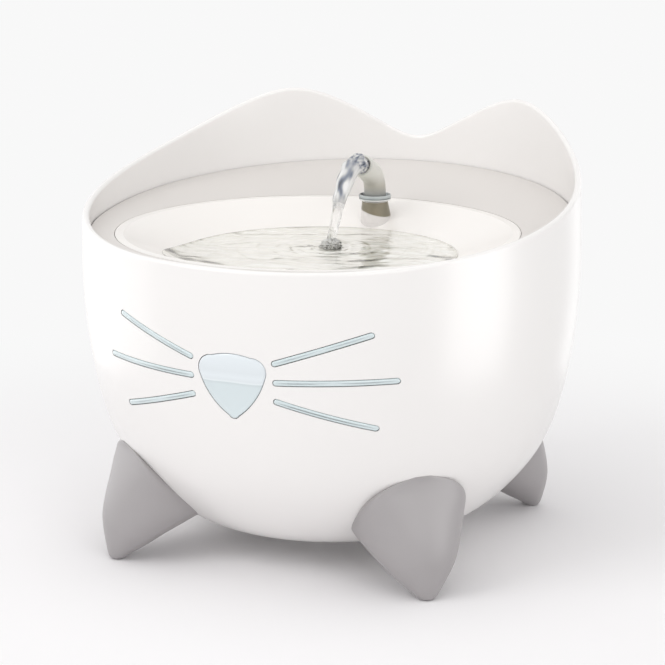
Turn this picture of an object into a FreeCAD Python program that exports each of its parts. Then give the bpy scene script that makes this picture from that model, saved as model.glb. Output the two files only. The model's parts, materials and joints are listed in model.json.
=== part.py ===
import FreeCAD, Part
import math
import os
import Sketcher

# A round pet water fountain: a bowl with cat ears on four feet, a lift-out surround and drinking dish,
# a spout on a clear riser, a filter basket under the dish and a small submersible pump on the floor.
# The origin is on the table under the middle of the bowl. -Y is the front with the nose window, +Z is up.

Vector = FreeCAD.Vector
UP = Vector(0, 0, 1)

# name, value in millimetres (angles in degrees), what it is
SIZES = (
    ("body_radius", 120.8, "outside of the bowl at its widest"),
    ("widest_height", 132.0, "height where the bowl is widest"),
    ("base_height", 12.0, "underside of the bowl above the table"),
    ("base_radius", 52.0, "flat part of the underside"),
    ("shell_wall", 3.0, "wall of the bowl"),
    ("mouth_wall", 3.8, "upper wall, from the widest outside to the straight inside"),
    ("wall_lean", 1.8, "how far the outside leans in up to the ear tips"),
    ("lip_height", 156.2, "top edge at the front"),
    ("side_height", 172.0, "top edge at the sides"),
    ("ear_height", 206.8, "tips of the ears"),
    ("valley_height", 182.5, "top edge between the ears"),
    ("ear_angle", 32.0, "ear tips, counted from the back"),
    ("ledge_height", 138.0, "ledge that carries the surround"),
    ("ledge_width", 4.0, "ledge, from the wall inwards"),
    ("ledge_edge", 1.0, "upright inner edge of the ledge"),
    ("nose_half_width", 16.6, "nose window"),
    ("nose_top", 118.0, "nose window, upper edge"),
    ("nose_tip", 86.7, "nose window, lower tip"),
    ("whisker_width", 3.1, "whisker windows"),
    ("window_gap", 0.15, "between a raised window and its cut-out"),
    ("window_proud", 0.3, "windows stand out of the wall"),
    ("window_plate", 2.4, "clear plate behind the wall"),
    ("window_reach", 76.0, "half width of the clear plate"),
    ("window_low", 79.0, "lower edge of the clear plate"),
    ("window_high", 131.5, "upper edge of the clear plate"),
    ("seal_thickness", 0.8, "room for the soft sheet between wall and clear plate"),
    ("seal_gap", 0.05, "soft sheet clear of the wall"),
    ("foot_height", 57.5, "top of a foot on the bowl"),
    ("foot_inset", 2.3, "outermost point of a foot, inside the widest outside of the bowl"),
    ("foot_half_width", 26.0, "foot, to each side"),
    ("foot_tip_radius", 3.6, "flat tip that stands on the table"),
    ("foot_tip_inset", 6.6, "centre of that tip, inside the outermost radius"),
    ("peg_radius", 5.0, "peg of the bowl in each foot"),
    ("peg_length", 11.0, "peg, out of the bowl"),
    ("peg_height", 35.65, "root of the peg above the table"),
    ("peg_gap", 0.1, "peg to its socket"),
    ("surround_gap", 0.6, "surround inside the upper wall"),
    ("surround_wall", 2.5, "plate and skirt of the surround"),
    ("seam_front", 155.0, "edge of the surround at the front"),
    ("seam_rise", 0.105, "rise of that edge per millimetre towards the back"),
    ("seam_turn", 20.0, "where the edge starts to rise, in front of the middle"),
    ("seam_blend", 15.0, "how softly it starts to rise"),
    ("seat_gap", 0.3, "between a lift-out piece and its seat"),
    ("dish_radius", 97.0, "drinking dish"),
    ("front_band", 1.9, "surround between its outside and the dish, at the front"),
    ("dish_rim_height", 155.5, "top of the dish rim"),
    ("dish_rim_width", 4.0, "flat rim of the dish"),
    ("dish_wall", 2.5, "dish"),
    ("dish_slope", 23.5, "slope of the dish side"),
    ("dish_floor_height", 131.0, "lowest point of the drinking surface"),
    ("band_overlap", 4.0, "how far the sloping face is drawn past the dish edge before it is cut"),
    ("drain_radius", 1.75, "drain holes over the filter"),
    ("drain_circle", 18.0, "circle of the drain holes"),
    ("overflow_radius", 74.0, "overflow slots, from the centre of the dish"),
    ("overflow_length", 11.0, "overflow slot"),
    ("overflow_width", 3.2, "overflow slot"),
    ("spout_from_dish", 75.5, "spout axis behind the centre of the dish"),
    ("riser_top", 157.6, "top of the clear riser"),
    ("riser_top_radius", 6.3, "riser, upper end"),
    ("riser_foot_radius", 9.3, "riser, lower end on the dish"),
    ("riser_foot_back", 2.5, "centre of the riser foot, behind the spout axis"),
    ("stem_radius", 6.8, "riser stem through the dish"),
    ("stem_bottom", 122.0, "lower end of the stem"),
    ("stem_top", 147.0, "upper end of the stem inside the riser"),
    ("boss_radius", 12.0, "boss under the dish round the stem"),
    ("boss_bottom", 138.0, "lower face of that boss"),
    ("nut_radius", 11.0, "nut under the boss"),
    ("nut_height", 5.0, "nut"),
    ("ring_radius", 1.2, "seal ring section"),
    ("collar_radius", 8.2, "flange of the collar"),
    ("collar_thickness", 3.0, "flange of the collar"),
    ("collar_stub_radius", 4.4, "stub of the collar in the riser"),
    ("collar_stub_length", 10.0, "stub of the collar"),
    ("collar_bore", 3.0, "bore of the collar"),
    ("running_gap", 0.08, "turning and sliding fits"),
    ("elbow_radius", 5.4, "outside of the elbow"),
    ("elbow_bore", 3.9, "bore of the elbow"),
    ("elbow_turn", 62.0, "turn of the elbow from upright"),
    ("elbow_bend", 14.0, "radius of its bend"),
    ("elbow_rise", 10.0, "collar to the corner of the elbow"),
    ("elbow_run", 19.8, "corner of the elbow to its mouth"),
    ("spigot_length", 6.0, "elbow spigot in the collar"),
    ("elbow_way", 2.0, "bore of the elbow spigot"),
    ("basket_radius", 33.6, "filter basket"),
    ("basket_wall", 1.8, "filter basket"),
    ("basket_bottom", 98.0, "underside of the basket"),
    ("basket_top", 127.0, "upper edge of the basket"),
    ("hanger_bottom", 120.0, "lower end of the ring that carries the basket"),
    ("hanger_wall", 2.0, "ring that carries the basket"),
    ("foam_height", 11.5, "foam pad"),
    ("carbon_height", 7.5, "carbon pad"),
    ("pump_back", 64.0, "back face of the pump behind the middle"),
    ("pump_axis_height", 39.0, "rotor axis above the table"),
    ("pump_width", 40.0, "pump"),
    ("pump_height", 36.0, "pump"),
    ("back_plate", 2.0, "back plate of the pump"),
    ("housing_length", 32.0, "pump housing"),
    ("pump_wall", 2.5, "pump housing"),
    ("volute_length", 10.0, "impeller cover"),
    ("grille_length", 10.0, "inlet grille"),
    ("chamber_radius", 13.5, "impeller chamber"),
    ("inlet_radius", 5.0, "inlet eye"),
    ("spigot_radius", 3.5, "pump outlet spigot"),
    ("spigot_bore", 2.4, "pump outlet spigot"),
    ("spigot_height", 12.0, "pump outlet spigot above the pump"),
    ("hose_radius", 5.0, "outlet hose"),
    ("hose_bend", 18.0, "bends of the outlet hose"),
    ("hose_rise", 22.0, "hose, from the pump to its first bend"),
    ("hose_lean", 30.0, "height over which the hose leans back"),
    ("hose_top", 140.0, "upper end of the hose"),
    ("well_radius", 8.5, "rotor well, outside"),
    ("well_bore", 7.3, "rotor well, inside"),
    ("well_end", 9.0, "closed end of the well, from the pump back"),
    ("magnet_radius", 6.6, "rotor magnet"),
    ("magnet_length", 18.0, "rotor magnet"),
    ("shaft_radius", 1.1, "rotor shaft"),
    ("shaft_gap", 0.05, "rotor on its shaft"),
    ("impeller_radius", 11.5, "impeller"),
    ("impeller_gap", 0.5, "impeller clear of its chamber"),
    ("impeller_disc", 1.2, "impeller disc and blades, thickness"),
    ("rear_bush_length", 2.4, "rubber bush in the closed end of the well"),
    ("front_bush_length", 0.8, "rubber bush behind the axle post"),
    ("shaft_inset", 1.2, "front end of the shaft, behind the cover face"),
    ("blade_count", 6, "impeller blades"),
    ("stator_radius", 15.0, "stator ring"),
    ("stator_ring", 2.4, "stator ring, across"),
    ("stator_length", 10.0, "stator stack"),
    ("stator_setback", 4.0, "stator in front of the end of the well"),
    ("pole_width", 3.0, "stator poles"),
    ("coil_width", 6.0, "coils, across"),
    ("coil_overhang", 1.5, "coils past the stack at each end"),
    ("coil_gap", 0.05, "coils round their poles"),
    ("board_thickness", 1.6, "driver board"),
    ("board_gap", 1.0, "board in front of the back plate"),
    ("cup_radius", 4.5, "suction cups"),
    ("cup_across", 14.0, "suction cups, to each side"),
    ("cup_front", 36.0, "front pair of cups, from the pump back"),
    ("cup_rear", 18.0, "rear pair of cups, from the pump back"),
    ("grommet_height", 122.0, "cable grommet above the table"),
    ("grommet_radius", 6.5, "cable grommet flange"),
    ("grommet_neck", 5.0, "cable grommet in the wall"),
    ("grommet_bore", 3.0, "hole for the cable"),
    ("grommet_flange", 1.8, "thickness of each grommet flange"),
    ("grommet_slack", 0.4, "inner flange clear of the wall"),
)

doc = FreeCAD.newDocument("water_fountain")
sheet = doc.addObject("Spreadsheet::Sheet", "sizes")
for line, (name, value, note) in enumerate(SIZES, start=1):
    sheet.set("A%d" % line, name)
    sheet.set("B%d" % line, str(value))
    sheet.setAlias("B%d" % line, name)
    sheet.set("C%d" % line, note)
doc.recompute()


def mm(name):
    return float(sheet.get(name))


# Places that follow from the sizes, as formulas of the sheet and as numbers

MOUTH_RADIUS = "(sizes.body_radius - sizes.mouth_wall)"
DISH_FORWARD = "(%s - sizes.surround_gap - sizes.dish_radius - sizes.front_band)" % MOUTH_RADIUS
SPOUT_BACK = "(sizes.spout_from_dish - %s)" % DISH_FORWARD
HALF_TURN = 180
QUARTER_TURN = 90


def mouth_radius():
    return mm("body_radius") - mm("mouth_wall")


def surround_radius():
    return mouth_radius() - mm("surround_gap")


def dish_forward():
    return surround_radius() - mm("dish_radius") - mm("front_band")


def spout_back():
    return mm("spout_from_dish") - dish_forward()


def foot_reach():
    return mm("body_radius") - mm("foot_inset")


# Objects that carry formulas


def set_formulas(thing, formulas):
    for prop, formula in formulas.items():
        thing.setExpression(prop, formula)
    return thing


def place(thing, x="0", y="0", z="0"):
    return set_formulas(thing, {"Placement.Base.x": x, "Placement.Base.y": y, "Placement.Base.z": z})


def rod(name, radius, height, x="0", y="0", z="0", axis=None):
    cylinder = doc.addObject("Part::Cylinder", name)
    if axis is not None:
        cylinder.Placement.Rotation = FreeCAD.Rotation(UP, axis)
    return place(set_formulas(cylinder, {"Radius": radius, "Height": height}), x, y, z)


def block(name, length, width, height, x, y, z):
    box = doc.addObject("Part::Box", name)
    return place(set_formulas(box, {"Length": length, "Width": width, "Height": height}), x, y, z)


def cut(name, base, tool):
    result = doc.addObject("Part::Cut", name)
    result.Base = base
    result.Tool = tool
    return result


def join(name, shapes):
    result = doc.addObject("Part::MultiFuse", name)
    result.Shapes = shapes
    return result


def new_body(label):
    body = doc.addObject("PartDesign::Body", label)
    body.Label = label
    return body


def new_sketch(body, name, plane="XY_Plane", offset=None):
    sketch = body.newObject("Sketcher::SketchObject", name)
    support = next(feature for feature in body.Origin.OriginFeatures if feature.Role == plane)
    sketch.AttachmentSupport = [(support, "")]
    sketch.MapMode = "FlatFace"
    if offset is not None:
        sketch.setExpression("AttachmentOffset.Base.z", offset)
    return sketch


def bind(sketch, constraint, formula):
    index = sketch.addConstraint(constraint)
    sketch.setExpression("Constraints[%d]" % index, formula)


def draw_polygon(sketch, corners):
    """A closed outline whose corners are pairs of formulas."""
    count = len(corners)
    first = sketch.GeometryCount
    start = [Vector(20 * math.cos(math.tau * i / count), 20 * math.sin(math.tau * i / count), 0)
             for i in range(count)]
    for i in range(count):
        sketch.addGeometry(Part.LineSegment(start[i], start[(i + 1) % count]), False)
    for i in range(count):
        sketch.addConstraint(Sketcher.Constraint("Coincident", first + i, 2, first + (i + 1) % count, 1))
    for i, (across, along) in enumerate(corners):
        bind(sketch, Sketcher.Constraint("DistanceX", -1, 1, first + i, 1, 1.0), across)
        bind(sketch, Sketcher.Constraint("DistanceY", -1, 1, first + i, 1, 1.0), along)


def draw_rectangle(sketch, half_across, half_along):
    draw_polygon(sketch, [
        ("-(%s)" % half_across, "-(%s)" % half_along),
        (half_across, "-(%s)" % half_along),
        (half_across, half_along),
        ("-(%s)" % half_across, half_along),
    ])


def draw_circle(sketch, radius, across="0", along="0"):
    index = sketch.addGeometry(Part.Circle(Vector(1, 1, 0), UP, 5.0), False)
    bind(sketch, Sketcher.Constraint("DistanceX", -1, 1, index, 3, 1.0), across)
    bind(sketch, Sketcher.Constraint("DistanceY", -1, 1, index, 3, 1.0), along)
    bind(sketch, Sketcher.Constraint("Radius", index, 5.0), radius)


def pad(body, name, sketch, length, reversed_pad=False):
    feature = body.newObject("PartDesign::Pad", name)
    feature.Profile = sketch
    feature.Reversed = reversed_pad
    feature.setExpression("Length", length)
    doc.recompute()
    return feature


def pocket(body, name, sketch, length, reversed_cut=False):
    before = body.Tip.Shape.Volume
    feature = body.newObject("PartDesign::Pocket", name)
    feature.Profile = sketch
    feature.Reversed = reversed_cut
    feature.setExpression("Length", length)
    doc.recompute()
    if feature.Shape.Volume > before - 0.01:
        raise ValueError("%s cuts nothing" % name)
    return feature


def revolve_sketch(body, name, sketch):
    feature = body.newObject("PartDesign::Revolution", name)
    feature.Profile = sketch
    feature.ReferenceAxis = (sketch, ["V_Axis"])
    feature.Angle = 360.0
    doc.recompute()
    return feature


def polar_pattern(body, name, feature, count, sketch):
    pattern = body.newObject("PartDesign::PolarPattern", name)
    pattern.Originals = [feature]
    pattern.Axis = (sketch, ["N_Axis"])
    pattern.Angle = 360.0
    pattern.setExpression("Occurrences", count)
    body.Tip = pattern
    doc.recompute()
    return pattern


def shaped_piece(label, shape):
    """A sub-part whose curved form is worked out from the sheet's sizes."""
    piece = doc.addObject("Part::Feature", label)
    piece.Label = label
    piece.Shape = shape
    piece.Placement = FreeCAD.Placement()
    return piece


# The bowl's curved wall

# share of the height from underside to widest, share of the radius gained from the flat base
BELLY = ((0.053, 0.301), (0.173, 0.558), (0.324, 0.757), (0.501, 0.878), (0.686, 0.948), (0.874, 0.987))
INNER_BELLY = BELLY[:5]
UPPER_STEPS = 3
# how far shapes that are cut away run past the piece that they cut
TRIM_MARGIN = 8.0
CUT_MARGIN = 1.0


def belly_points(stations):
    rise = mm("widest_height") - mm("base_height")
    gain = mm("body_radius") - mm("base_radius")
    points = [Vector(mm("base_radius"), 0, mm("base_height"))]
    for height_share, radius_share in stations:
        points.append(Vector(mm("base_radius") + gain * radius_share, 0,
                             mm("base_height") + rise * height_share))
    return points


def wall_top():
    return mm("ear_height") + TRIM_MARGIN


def upper_points(inset=0.0):
    """The upper wall leans in as a shallow parabola from the widest place to above the ears."""
    low, rise = mm("widest_height"), wall_top() - mm("widest_height")
    points = []
    for step in range(UPPER_STEPS + 1):
        share = step / UPPER_STEPS
        lean = mm("wall_lean") * share * share
        points.append(Vector(mm("body_radius") - inset - lean, 0, low + rise * share))
    return points


def outer_curve():
    points = belly_points(BELLY) + upper_points()
    curve = Part.BSplineCurve()
    curve.interpolate(points)
    return curve


OUTER = outer_curve()


def inset_point(point, inset):
    """A point of the outer curve moved square to the wall, towards the inside."""
    parameter = OUTER.parameter(point)
    along = OUTER.tangent(parameter)[0]
    return point + Vector(-along.z, 0, along.x) * inset


def revolved(edges, top, bottom):
    """A solid of revolution about the upright axis under an outline from bottom to top."""
    low = edges[0].Vertexes[0].Point
    high = edges[-1].Vertexes[-1].Point
    closing = [
        Part.LineSegment(high, Vector(0, 0, top)).toShape(),
        Part.LineSegment(Vector(0, 0, top), Vector(0, 0, bottom)).toShape(),
        Part.LineSegment(Vector(0, 0, bottom), low).toShape(),
    ]
    face = Part.Face(Part.Wire(list(edges) + closing))
    return face.revolve(Vector(0, 0, 0), UP, 360)


def bowl_solid(inset=0.0):
    """The filled bowl, with its outside moved in by the inset."""
    points = [inset_point(point, inset) for point in belly_points(BELLY)] + upper_points(inset)
    curve = Part.BSplineCurve()
    curve.interpolate(points)
    return revolved([curve.toShape()], points[-1].z, points[0].z)


def cavity_solid(extra=0.0):
    """The space inside the bowl, made smaller all round by the extra."""
    wall = mm("shell_wall") + extra
    radius = mouth_radius() - extra
    straight_from = mm("widest_height") - 4 * mm("shell_wall")
    points = [inset_point(point, wall) for point in belly_points(INNER_BELLY)]
    points.append(Vector(radius, 0, straight_from))
    curve = Part.BSplineCurve()
    curve.interpolate(Points=points, InitialTangent=Vector(1, 0, 0), FinalTangent=Vector(0, 0, 1))
    top = wall_top() + TRIM_MARGIN
    upright = Part.LineSegment(points[-1], Vector(radius, 0, top)).toShape()
    return revolved([curve.toShape(), upright], top, points[0].z)


def wall_radius(height):
    """Outside radius of the bowl at a height."""
    low, high = OUTER.FirstParameter, OUTER.LastParameter
    for _ in range(40):
        middle = (low + high) / 2
        if OUTER.value(middle).z < height:
            low = middle
        else:
            high = middle
    return OUTER.value(low).x


def polar(radius, degrees, height):
    """A point by its angle, counted from the front towards +X."""
    turn = math.radians(degrees)
    return Vector(radius * math.sin(turn), -radius * math.cos(turn), height)


def closed_curve(points):
    curve = Part.BSplineCurve()
    curve.interpolate(Points=points, PeriodicFlag=True)
    return curve.toShape()


def above_band(inner_points, outer_points, height):
    """The space over a band between two closed curves."""
    band = Part.makeRuledSurface(closed_curve(inner_points), closed_curve(outer_points))
    return band.extrude(UP * height)


def edge_stations():
    """Angle from the front and height of the bowl's top edge, on one side."""
    lip, side = mm("lip_height"), mm("side_height")
    ear, valley = mm("ear_height"), mm("valley_height")
    tip = HALF_TURN - mm("ear_angle")
    behind = tip - QUARTER_TURN
    return [
        (0, lip),
        (30, lip + 0.05 * (side - lip)),
        (60, lip + 0.37 * (side - lip)),
        (QUARTER_TURN, side),
        (QUARTER_TURN + 0.43 * behind, side + 0.37 * (ear - side)),
        (QUARTER_TURN + 0.71 * behind, side + 0.73 * (ear - side)),
        (QUARTER_TURN + 0.86 * behind, side + 0.915 * (ear - side)),
        (tip, ear),
        (tip + 0.39 * mm("ear_angle"), valley + 0.72 * (ear - valley)),
        (tip + 0.73 * mm("ear_angle"), valley + 0.25 * (ear - valley)),
        (HALF_TURN, valley),
    ]


def make_edge_trim():
    half = edge_stations()
    ring = half + [(2 * HALF_TURN - angle, height) for angle, height in reversed(half[1:-1])]
    inside = [polar(mouth_radius() - 1.5 * TRIM_MARGIN, angle, height) for angle, height in ring]
    outside = [polar(mm("body_radius") + 1.5 * TRIM_MARGIN, angle, height) for angle, height in ring]
    return above_band(inside, outside, wall_top() + TRIM_MARGIN - mm("lip_height"))


# Nose and whisker windows

# inner end and outer end of each whisker on the right, across and up from the nose tip
WHISKERS = (((20.5, 27.8), (61.1, 41.2)), ((20.7, 18.8), (70.3, 19.6)), ((20.5, 9.8), (61.0, -2.7)))


def front_arc(first, middle, last):
    return Part.Arc(*(Vector(x, 0, z) for x, z in (first, middle, last))).toShape()


def nose_outline():
    wide, top, tip = mm("nose_half_width"), mm("nose_top"), mm("nose_tip")
    tall = top - tip
    shoulder = (0.57 * wide, top - 0.045 * tall)
    corner = (0.92 * wide, top - 0.13 * tall)
    side = (wide, top - 0.30 * tall)
    flank = (0.69 * wide, top - 0.66 * tall)
    chin = (0.15 * wide, tip + 0.045 * tall)
    edges = [front_arc((-shoulder[0], shoulder[1]), (0, top), shoulder)]
    right = [(shoulder, corner, side), (side, flank, chin)]
    for points in right:
        edges.append(front_arc(*points))
    edges.append(front_arc(chin, (0, tip), (-chin[0], chin[1])))
    for points in reversed(right):
        edges.append(front_arc(*((-x, z) for x, z in reversed(points))))
    return Part.Face(Part.Wire(edges))


def whisker_outline(start, end):
    half = mm("whisker_width") / 2
    run = Vector(end[0] - start[0], 0, end[1] - start[1])
    along = run / run.Length
    square = Vector(-along.z, 0, along.x) * half
    first = Vector(start[0], 0, start[1])
    last = Vector(end[0], 0, end[1])
    edges = [
        Part.LineSegment(first + square, last + square).toShape(),
        Part.Arc(last + square, last + along * half, last - square).toShape(),
        Part.LineSegment(last - square, first - square).toShape(),
        Part.Arc(first - square, first - along * half, first + square).toShape(),
    ]
    return Part.Face(Part.Wire(edges))


def window_prisms(gap):
    """The windows' outlines drawn out to the front, made smaller by the gap."""
    faces = [nose_outline()]
    tip = mm("nose_tip")
    for start, end in WHISKERS:
        for side in (1, -1):
            faces.append(whisker_outline((side * start[0], tip + start[1]), (side * end[0], tip + end[1])))
    if gap:
        faces = [face.makeOffset2D(-gap) for face in faces]
    reach = Vector(0, -mm("body_radius") - TRIM_MARGIN, 0)
    return [face.extrude(reach) for face in faces]


def front_block(reach, low, high):
    depth = mm("body_radius") + TRIM_MARGIN
    return Part.makeBox(2 * reach, depth, high - low, Vector(-reach, -depth, low))


def make_window_lens():
    seat = cavity_solid(mm("seal_thickness"))
    plate = seat.cut(cavity_solid(mm("seal_thickness") + mm("window_plate")))
    plate = plate.common(front_block(mm("window_reach"), mm("window_low"), mm("window_high")))
    in_plate = cavity_solid(mm("seal_thickness") + mm("window_plate") / 3)
    skin = bowl_solid(-mm("window_proud")).cut(in_plate)
    raised = [skin.common(prism) for prism in window_prisms(mm("window_gap"))]
    return plate.fuse(raised).removeSplitter()


def make_window_seal():
    sheet_shape = cavity_solid(mm("seal_gap")).cut(cavity_solid(mm("seal_thickness")))
    margin = mm("seal_thickness")
    sheet_shape = sheet_shape.common(front_block(mm("window_reach") - margin, mm("window_low") + margin,
                                                 mm("window_high") - margin))
    return sheet_shape.cut(window_prisms(0.0))


# Feet

# share of the foot height, outer reach less the foot's outermost radius, share of the half width
FOOT_STATIONS = ((0.035, -2.0, 0.20), (0.13, -1.2, 0.42), (0.243, -0.3, 0.65), (0.348, 0.0, 0.81),
                 (0.47, -1.2, 0.96), (0.60, -3.4, 1.0), (0.765, -7.3, 0.96), (0.87, -10.2, 0.80),
                 (0.948, -11.4, 0.52), (1.0, -10.6, 0.10))
# share of the foot height and centre radius less the outermost radius, below the belly
FOOT_CENTRES = ((0.035, -7.0), (0.13, -11.5), (0.243, -16.5), (0.348, -22.5), (0.47, -29.5))
# higher up the sections are centred just under the bowl's outside
FOOT_ROOT = 0.2


def foot_section(height, centre, radial, across):
    """A closed outline of one level of a foot, an oval with its centre out along +X."""
    turns = [math.tau * i / 16 for i in range(16)]
    return Part.Wire([closed_curve([
        Vector(centre + radial * math.cos(turn), across * math.sin(turn), height) for turn in turns
    ])])


def peg_line():
    """Start and direction of a foot's peg, square to the belly in the middle of the foot."""
    height = mm("peg_height")
    start = Vector(wall_radius(height), 0, height)
    along = OUTER.tangent(OUTER.parameter(start))[0]
    return start, Vector(along.z, 0, -along.x)


def make_foot():
    tall, reach, wide = mm("foot_height"), foot_reach(), mm("foot_half_width")
    tip = mm("foot_tip_radius")
    centres = dict(FOOT_CENTRES)
    sections = [foot_section(0.0, reach - mm("foot_tip_inset"), tip, tip)]
    for height_share, reach_less, width_share in FOOT_STATIONS:
        height = tall * height_share
        outer = reach + reach_less
        centre = wall_radius(height) - FOOT_ROOT
        if height_share in centres:
            centre = reach + centres[height_share]
        sections.append(foot_section(height, centre, outer - centre, wide * width_share))
    solid = Part.makeLoft(sections, True, False)
    start, along = peg_line()
    deep = mm("peg_length") + 2 * CUT_MARGIN
    socket = Part.makeCylinder(mm("peg_radius") + mm("peg_gap"), deep, start - along * CUT_MARGIN, along)
    return solid.cut(bowl_solid()).cut(socket)


FEET = (("foot_front_right", -45), ("foot_front_left", -135),
        ("foot_back_right", 45), ("foot_back_left", 135))


# The bowl itself


def make_reservoir_shell():
    shell = bowl_solid().cut(cavity_solid())
    mouth, ledge, width = mouth_radius(), mm("ledge_height"), mm("ledge_width")
    edge = ledge - mm("ledge_edge")
    root = mouth + mm("shell_wall") / 3
    corners = [(root, ledge), (mouth - width, ledge), (mouth - width, edge), (root, edge - width)]
    outline = Part.makePolygon([Vector(x, 0, z) for x, z in corners + corners[:1]])
    ring = Part.Face(outline).revolve(Vector(0, 0, 0), UP, 360)
    start, along = peg_line()
    buried = mm("shell_wall") / 2
    peg = Part.makeCylinder(mm("peg_radius"), mm("peg_length") + buried, start - along * buried, along)
    pegs = []
    for _, turn in FEET:
        copy = peg.copy()
        copy.rotate(Vector(0, 0, 0), UP, turn)
        pegs.append(copy)
    shell = shell.fuse([ring] + pegs)
    shell = shell.cut(make_edge_trim())
    shell = shell.cut(window_prisms(0.0))
    hole = Part.makeCylinder(mm("grommet_neck"), mm("body_radius"), Vector(0, 0, mm("grommet_height")),
                             Vector(0, 1, 0))
    return shell.cut(hole).removeSplitter()


# Surround and drinking dish


def seam_height(y):
    """Height of the surround's outer edge, level at the front and rising to the back."""
    back = y + mm("seam_turn")
    return mm("seam_front") + mm("seam_rise") * (math.hypot(back, mm("seam_blend")) + back) / 2


def surround_band(drop):
    """The space over the surround's sloping face, lowered by the drop."""
    inside, outside = [], []
    centre = Vector(0, -dish_forward(), 0)
    for step in range(24):
        angle = step * 15
        dish = polar(mm("dish_radius"), angle, mm("dish_rim_height")) + centre
        seam = polar(surround_radius(), angle, 0)
        seam.z = seam_height(seam.y)
        run = seam - dish
        run = run / math.hypot(run.x, run.y)
        inside.append(dish - run * mm("band_overlap") - UP * drop)
        outside.append(seam + run * 2 * CUT_MARGIN - UP * drop)
    return above_band(inside, outside, wall_top() - mm("lip_height") + 2 * TRIM_MARGIN)


def dish_cylinder(radius, low, high):
    return Part.makeCylinder(radius, high - low, Vector(0, -dish_forward(), low))


def make_surround():
    radius, wall = surround_radius(), mm("surround_wall")
    foot = mm("ledge_height") + mm("seat_gap")
    top = mm("ear_height")
    under_rim = mm("dish_rim_height") - mm("dish_wall") - mm("seat_gap")
    opening = mm("dish_radius") + mm("seat_gap")
    block_shape = Part.makeCylinder(radius, top - foot, Vector(0, 0, foot)).cut(surround_band(0.0))
    hollow = Part.makeCylinder(radius - wall, top - foot + CUT_MARGIN, Vector(0, 0, foot - CUT_MARGIN))
    hollow = hollow.cut(surround_band(wall))
    hollow = hollow.cut(dish_cylinder(opening + wall, under_rim - wall, top))
    solid = block_shape.cut(hollow).cut(dish_cylinder(opening, under_rim, top))
    seat_inside = rim_corner().x + mm("seat_gap")
    return solid.cut(dish_cylinder(seat_inside, foot - CUT_MARGIN, top)).removeSplitter()


# share of the dish depth that is curved, below the straight slope
DISH_CURVE = 0.52


def dish_profile(offset):
    """Corners of the dish side: end of the level floor, end of the curve, top of the slope."""
    slope = math.radians(mm("dish_slope"))
    top = Vector(mm("dish_radius") - mm("dish_rim_width"), 0, mm("dish_rim_height"))
    floor = mm("dish_floor_height")
    rise = DISH_CURVE * (top.z - floor)
    bend = rise / (1 - math.cos(slope))
    slope_start = Vector(top.x - (top.z - floor - rise) / math.tan(slope), 0, floor + rise)
    centre = Vector(slope_start.x - bend * math.sin(slope), 0, floor + bend)
    bend += offset
    start = centre - UP * bend
    middle = centre + Vector(math.sin(slope / 2), 0, -math.cos(slope / 2)) * bend
    end = centre + Vector(math.sin(slope), 0, -math.cos(slope)) * bend
    outward = Vector(math.sin(slope), 0, -math.cos(slope)) * offset
    return start, middle, end, top + outward


def dish_side(offset):
    start, middle, end, top = dish_profile(offset)
    axis = Vector(0, 0, start.z)
    return [Part.LineSegment(axis, start).toShape(), Part.Arc(start, middle, end).toShape(),
            Part.LineSegment(end, top).toShape()]


def rim_corner():
    """Where the underside of the dish side meets the underside of its rim."""
    slope = math.radians(mm("dish_slope"))
    side_top = dish_profile(mm("dish_wall"))[3]
    rim_low = mm("dish_rim_height") - mm("dish_wall")
    return Vector(side_top.x + (rim_low - side_top.z) / math.tan(slope), 0, rim_low)


def over_dish():
    """The space above the drinking surface, inside the flat rim."""
    edges = dish_side(0.0)
    corner = edges[-1].Vertexes[-1].Point
    top = mm("ear_height")
    edges.append(Part.LineSegment(corner, Vector(corner.x, 0, top)).toShape())
    edges.append(Part.LineSegment(Vector(corner.x, 0, top), Vector(0, 0, top)).toShape())
    edges.append(Part.LineSegment(Vector(0, 0, top), edges[0].Vertexes[0].Point).toShape())
    space = Part.Face(Part.Wire(edges)).revolve(Vector(0, 0, 0), UP, 360)
    space.translate(Vector(0, -dish_forward(), 0))
    return space


def under_dish():
    """The dish filled solid from its rim down to its underside."""
    edges = dish_side(mm("dish_wall"))
    corner = rim_corner()
    edges[-1] = Part.LineSegment(edges[-1].Vertexes[0].Point, corner).toShape()
    rim = mm("dish_radius")
    top = mm("dish_rim_height")
    floor = edges[0].Vertexes[0].Point
    points = [corner, Vector(rim, 0, corner.z), Vector(rim, 0, top), Vector(0, 0, top), floor]
    edges += [Part.LineSegment(first, last).toShape() for first, last in zip(points, points[1:])]
    solid = Part.Face(Part.Wire(edges)).revolve(Vector(0, 0, 0), UP, 360)
    solid.translate(Vector(0, -dish_forward(), 0))
    return solid


def hanger_radius():
    return mm("basket_radius") - mm("basket_wall") - mm("seat_gap")


def spout_rod(radius, low, high):
    return Part.makeCylinder(radius, high - low, Vector(0, spout_back(), low))


DRAIN_ANGLES = range(0, 360, 60)
OVERFLOW_ANGLES = (-24, -8, 8, 24)


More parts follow.
